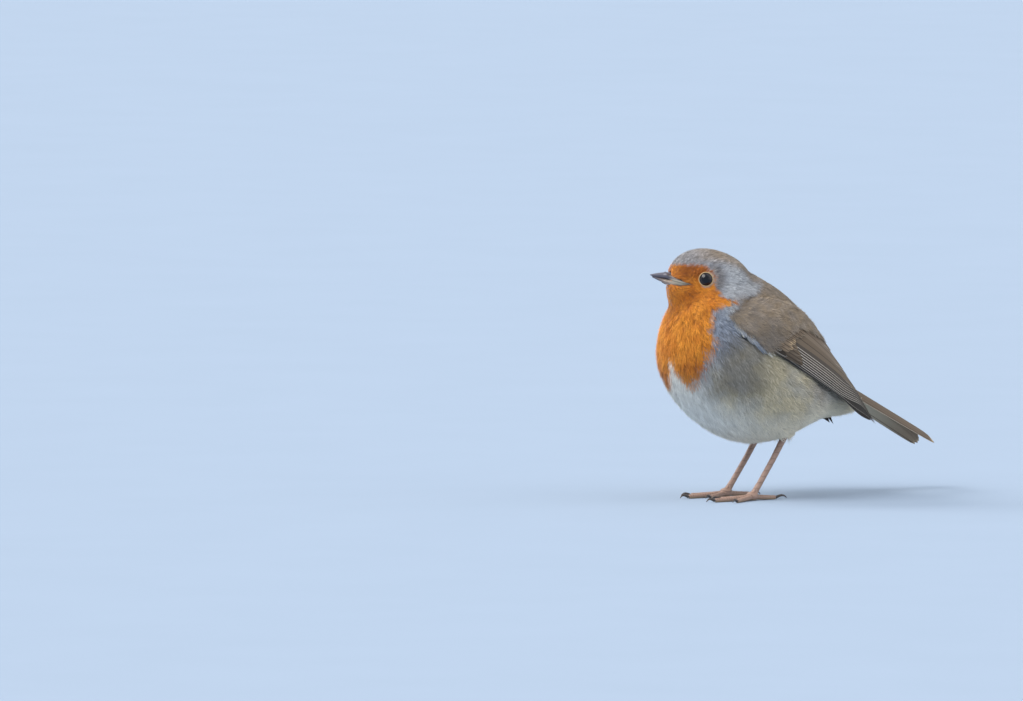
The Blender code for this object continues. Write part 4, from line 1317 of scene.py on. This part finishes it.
def bill_paint():
    paint = Paint("horn", Roughness=0.34, Specular_IOR_Level=0.5, Coat_Weight=0.15, Coat_Roughness=0.25)
    along, height = paint.painted("ahead"), paint.painted("over_gape")
    scratches = paint.noise(900, 4, paint.stretched(paint.place(), (1, 0.25, 3)))
    dark = paint.mix(scratches, (0.060, 0.055, 0.070), (0.150, 0.140, 0.175))
    pale = paint.mix(scratches, (0.250, 0.185, 0.140), (0.370, 0.290, 0.225))
    cream = paint.mix(scratches, (0.200, 0.170, 0.130), (0.310, 0.275, 0.215))
    lower = height.step(0.25, -0.35) * along.step(21.0, 16.5)
    flange = along.step(16.6, 14.4) * height.step(0.95, 0.5)
    colour = paint.mix(lower * 0.9, dark, pale)
    colour = paint.mix(flange, colour, cream)
    # a dark band along the top of the bare wedge: painted shadow under the lores, and the gape's own dark
    # line
    colour = paint.mix(paint.painted("lores_shadow_and_gape") * 0.9, colour, (0.050, 0.028, 0.018))
    # a dark line where the two halves meet: painted shade in the crease between them
    line = height.step(0.16, 0.02) * height.step(-0.16, -0.02)
    colour = paint.mix(line * 0.85, colour, (0.030, 0.022, 0.020))
    # near-black inside each nostril: painted shade in its hollow
    colour = paint.mix(paint.painted("nostril"), colour, (0.008, 0.007, 0.008))
    paint.feed("Base Color", colour)
    paint.feed("Roughness", 0.28 + 0.2 * scratches)
    paint.bump(scratches, 0.00004, 0.5)
    return paint.material


def smooth_copy(name, solids, net, rounds, material):
    piece = copy_solids(name, *solids)
    apply_modifier(piece, "REMESH", mode="VOXEL", voxel_size=net * MM)
    apply_modifier(piece, "SMOOTH", factor=0.5, iterations=rounds)
    piece.name = name
    smooth(piece)
    piece.data.materials.append(material)
    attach(piece, "root")
    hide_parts(*solids)
    return piece


horn = bill_paint()
for half, closing in (("bill_upper", -1), ("bill_lower", 1)):
    piece = smooth_copy(half + "_horn", [half], 0.13, 4, horn)
    corners, outs = corners_of(piece), normals_of(piece)
    ahead, aside, up = head_measures(corners)
    shut = 0.24 * np.clip(outs[:, 2] * closing, 0, 1) * ramp(23.3, 21.5, ahead)
    nostril = np.exp(-(((ahead - 15.6) / 0.8) ** 2 + ((up - 0.25) / 0.30) ** 2)) * (np.abs(aside) > 0.7)
    nostril = nostril * (half == "bill_upper")
    move_corners(piece, corners - outs * 0.35 * nostril[:, None] + np.outer(shut, (0, 0, closing)))
    # the same mask gives the hollow its near-black paint, a painted shade
    paint_share(piece, "nostril", ramp(0.25, 0.7, nostril))
    paint_share(piece, "ahead", ahead)
    paint_share(piece, "over_gape", gape_height(ahead, up))
    print(piece.name, triangles(piece), "triangles")

# %% [markdown]
# Beside the bill's root the horn runs back as a bare wedge to the corner of the mouth. It is a small net
# laid on the bill and the cheek: rows run from the bill's side back to a point under the eye, and every
# corner is found by looking inward from the side.

# %% The corner of the mouth
CORNER_ROWS, CORNER_COLUMNS = 36, 12
CORNER_AHEAD = 18.2
BESIDE = 14  # as far aside as the search for the bill or the cheek begins


def mouth_corner(side):
    """side is 1 for the left and -1 for the right."""
    ahead = np.linspace(CORNER_AHEAD, BARE_TOP[0][0], CORNER_ROWS)[:, None]
    share = np.linspace(-0.06, 1.06, CORNER_COLUMNS)[None]
    top, foot = along_line(BARE_TOP, ahead), along_line(BARE_FOOT, ahead)
    top = np.where(ahead > 17, top - 0.5 * (ahead - 17), top)
    foot = np.where(ahead > 17, foot + 0.5 * (ahead - 17), foot)
    up = foot + (top - foot) * share
    ahead = ahead + 0 * share
    found = np.zeros_like(up)
    for row in range(CORNER_ROWS):
        for column in range(CORNER_COLUMNS):
            place = on_head(ahead[row, column], BESIDE * side, up[row, column])
            inward = unit(on_head(ahead[row, column], 0, up[row, column]) - place)
            hits = [tree.ray_cast(to_frame(place), inward)[3] for tree in (SKIN_TREE, BILL_TREE)]
            found[row, column] = BESIDE - min([hit / MM for hit in hits if hit] or [BESIDE])
    for _ in range(6):  # the step from the bill to the cheek becomes a slope
        found[1:-1] = (found[:-2] + 2 * found[1:-1] + found[2:]) / 4
    bulge = 0.25 + 0.35 * np.sqrt(np.clip(1 - (2 * share - 1) ** 2, 0, 1)) * ramp(8.6, 12, ahead)
    found = found + bulge * ramp(CORNER_AHEAD, 16.8, ahead)
    found = found - 0.35 * ramp(0.03, -0.06, share) - 0.35 * ramp(0.97, 1.06, share)
    corners = np.array([on_head(a, f * side, u) for a, f, u in zip(ahead.ravel(), found.ravel(), up.ravel())])
    outs = np.tile(on_head(0, side, 0) - HEAD_PIVOT, (len(corners), 1))
    # the top of the wedge is painted dark: shadow under the lores, and the gape's own line
    shares = {"ahead": ahead, "over_gape": gape_height(ahead, up), "nostril": 0 * up,
              "lores_shadow_and_gape": ramp(0.68, 0.88, share + 0 * up) * ramp(17.4, 16, ahead)}
    squares = facing(corners, net(CORNER_ROWS, CORNER_COLUMNS), outs)
    piece = new_piece(f"mouth_corner_{'left' if side > 0 else 'right'}", corners, [squares], horn, shares)
    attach(piece, "root")
    return piece


for side in (1, -1):
    print(mouth_corner(side).name, "laid on the cheek")

# %% [markdown]
# ## Legs and claws
# A robin's legs are thin and brown, with a row of long scutes down the front of the shank, small scales
# over the joints and ring scales on the toes. Copies of the solids are wrapped and smoothed, then the
# scutes are pressed in as shallow rings.

# %% Legs
def leg_paint():
    paint = Paint("leg", Roughness=0.45, Specular_IOR_Level=0.45)
    groove, mottled = paint.painted("groove"), paint.noise(700, 4)
    warm = paint.mix(mottled, (0.250, 0.150, 0.115), (0.420, 0.280, 0.220))
    pad = paint.mix(mottled, (0.300, 0.200, 0.110), (0.420, 0.300, 0.180))
    colour = paint.mix(paint.painted("sole") * 0.7, warm, pad)
    colour = paint.mix(groove * 0.7, colour, (0.060, 0.032, 0.024))
    paint.feed("Base Color", colour)
    paint.feed("Roughness", 0.36 + 0.25 * mottled)
    paint.bump(mottled * 0.5, 0.00008, 0.6)
    return paint.material


legs_paint = leg_paint()
claw_horn = Paint("claw", Roughness=0.35, Specular_IOR_Level=0.5)
claw_grain = claw_horn.noise(1200, 3)
claw_horn.feed("Base Color", claw_horn.mix(claw_grain, (0.030, 0.022, 0.020), (0.085, 0.065, 0.058)))
claw_horn.bump(claw_grain, 0.00003, 0.4)
TOES = ("hind", "inner", "middle", "outer")
for side in SIDES:
    solids = [f"tarsus_{side}", f"foot_{side}"] + [f"toe_{side}_{toe}" for toe in TOES]
    leg = smooth_copy(f"leg_{side}", solids, 0.2, 4, legs_paint)
    corners, outs = corners_of(leg), normals_of(leg)
    height = corners[:, 2]
    pad = to_bird(sum((Vector(c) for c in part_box(f"foot_{side}")), Vector()) / 2)
    shank = ramp(3.5, 5.0, height)
    from_pad = np.linalg.norm((corners - pad)[:, :2], axis=1)
    rings = np.where(height > 4.2, height / 2.1, from_pad / 1.05)
    phase = np.abs((rings % 1.0) - 0.5) * 2
    groove = ramp(0.72, 0.98, phase) * (0.55 + 0.45 * (1 - shank))
    top = ramp(-0.3, 0.5, outs[:, 2]) * (1 - shank) + shank
    groove = groove * top * ramp(0.25, 0.8, height)
    inset = outs * (0.10 * groove - 0.05 * (1 - groove) * top * (height > 0.4))[:, None]
    move_corners(leg, corners - inset)
    paint_share(leg, "groove", groove)
    paint_share(leg, "sole", ramp(0.9, 0.3, height))
    for toe in TOES:
        smooth_copy(f"claw_{side}_{toe}_horn", [f"claw_{side}_{toe}"], 0.1, 3, claw_horn.material)
    print(leg.name, triangles(leg), "triangles")

# %% [markdown]
# ## Floor, light and camera
# A pale floor runs out to a pale sky. One broad soft light hangs over the bird's front, weaker ones fill
# its far side and its rear, and the camera looks from a long way off, low, through a long lens, so that
# nothing is drawn out of shape.

# %% Floor
FLOOR_RADIUS = 9.0
bpy.ops.object.select_all(action="DESELECT")
bpy.ops.mesh.primitive_circle_add(vertices=96, radius=FLOOR_RADIUS, fill_type="NGON", location=(0, 0, 0))
floor = bpy.context.object
floor.name = "floor"
floor_paint = Paint("floor", Roughness=0.85, Specular_IOR_Level=0.2)
grain = floor_paint.noise(18, 4)
floor_paint.feed("Base Color", floor_paint.mix(grain, (0.292, 0.362, 0.466), (0.308, 0.380, 0.488)))
floor.data.materials.append(floor_paint.material)
print("floor radius", round(floor.dimensions.x / 2, 2), "m")

# %% Light
LAMP_DISTANCE = 2
world = bpy.data.worlds.new("pale sky")
bpy.context.scene.world = world
world.use_nodes = True
world.node_tree.nodes["Background"].inputs["Color"].default_value = (0.78, 0.85, 0.93, 1)
world.node_tree.nodes["Background"].inputs["Strength"].default_value = 0.80


def stand(name, data, azimuth, elevation, distance, aim=Vector()):
    """A lamp or camera that looks at aim; azimuth 0 is in front of the bird, and 90 at its left."""
    a, e = math.radians(azimuth), math.radians(elevation)
    away = Vector((math.sin(a) * math.cos(e), -math.cos(a) * math.cos(e), math.sin(e)))
    thing = bpy.data.objects.new(name, data)
    bpy.context.scene.collection.objects.link(thing)
    thing.location = aim + away * distance
    thing.rotation_euler = away.to_track_quat("Z", "Y").to_euler()
    return thing


def soft_light(name, azimuth, elevation, spread, strength, colour):
    light = bpy.data.lights.new(name, "SUN")
    light.angle, light.energy, light.color = math.radians(spread), strength, colour
    stand(name, light, azimuth, elevation, LAMP_DISTANCE)


soft_light("key", 5, 48, 40, 2.7, (1.0, 0.97, 0.92))
soft_light("rim in front", -55, 38, 30, 1.7, (1.0, 0.97, 0.92))
soft_light("fill behind, at the left", 130, 5, 70, 0.75, (1.0, 0.95, 0.87))
soft_light("over the back", 140, 55, 60, 0.45, (0.97, 0.98, 1.0))
print("a pale sky and four soft lights")

# %% Camera
AIM = Vector((-0.0508, -0.0882, 0.0526))
AZIMUTH, ELEVATION, DISTANCE, VIEW_WIDTH, SENSOR = 55, 4, 8.0, 0.3654, 36
lens = bpy.data.cameras.new("camera")
lens.sensor_width = SENSOR
lens.lens = SENSOR * DISTANCE / VIEW_WIDTH
lens.clip_start, lens.clip_end = 0.1, 100
camera = stand("camera", lens, AZIMUTH, ELEVATION, DISTANCE, AIM)
bpy.context.scene.camera = camera
bpy.context.scene.view_settings.view_transform = "Standard"
print("camera height", round(camera.location.z, 3), "m")
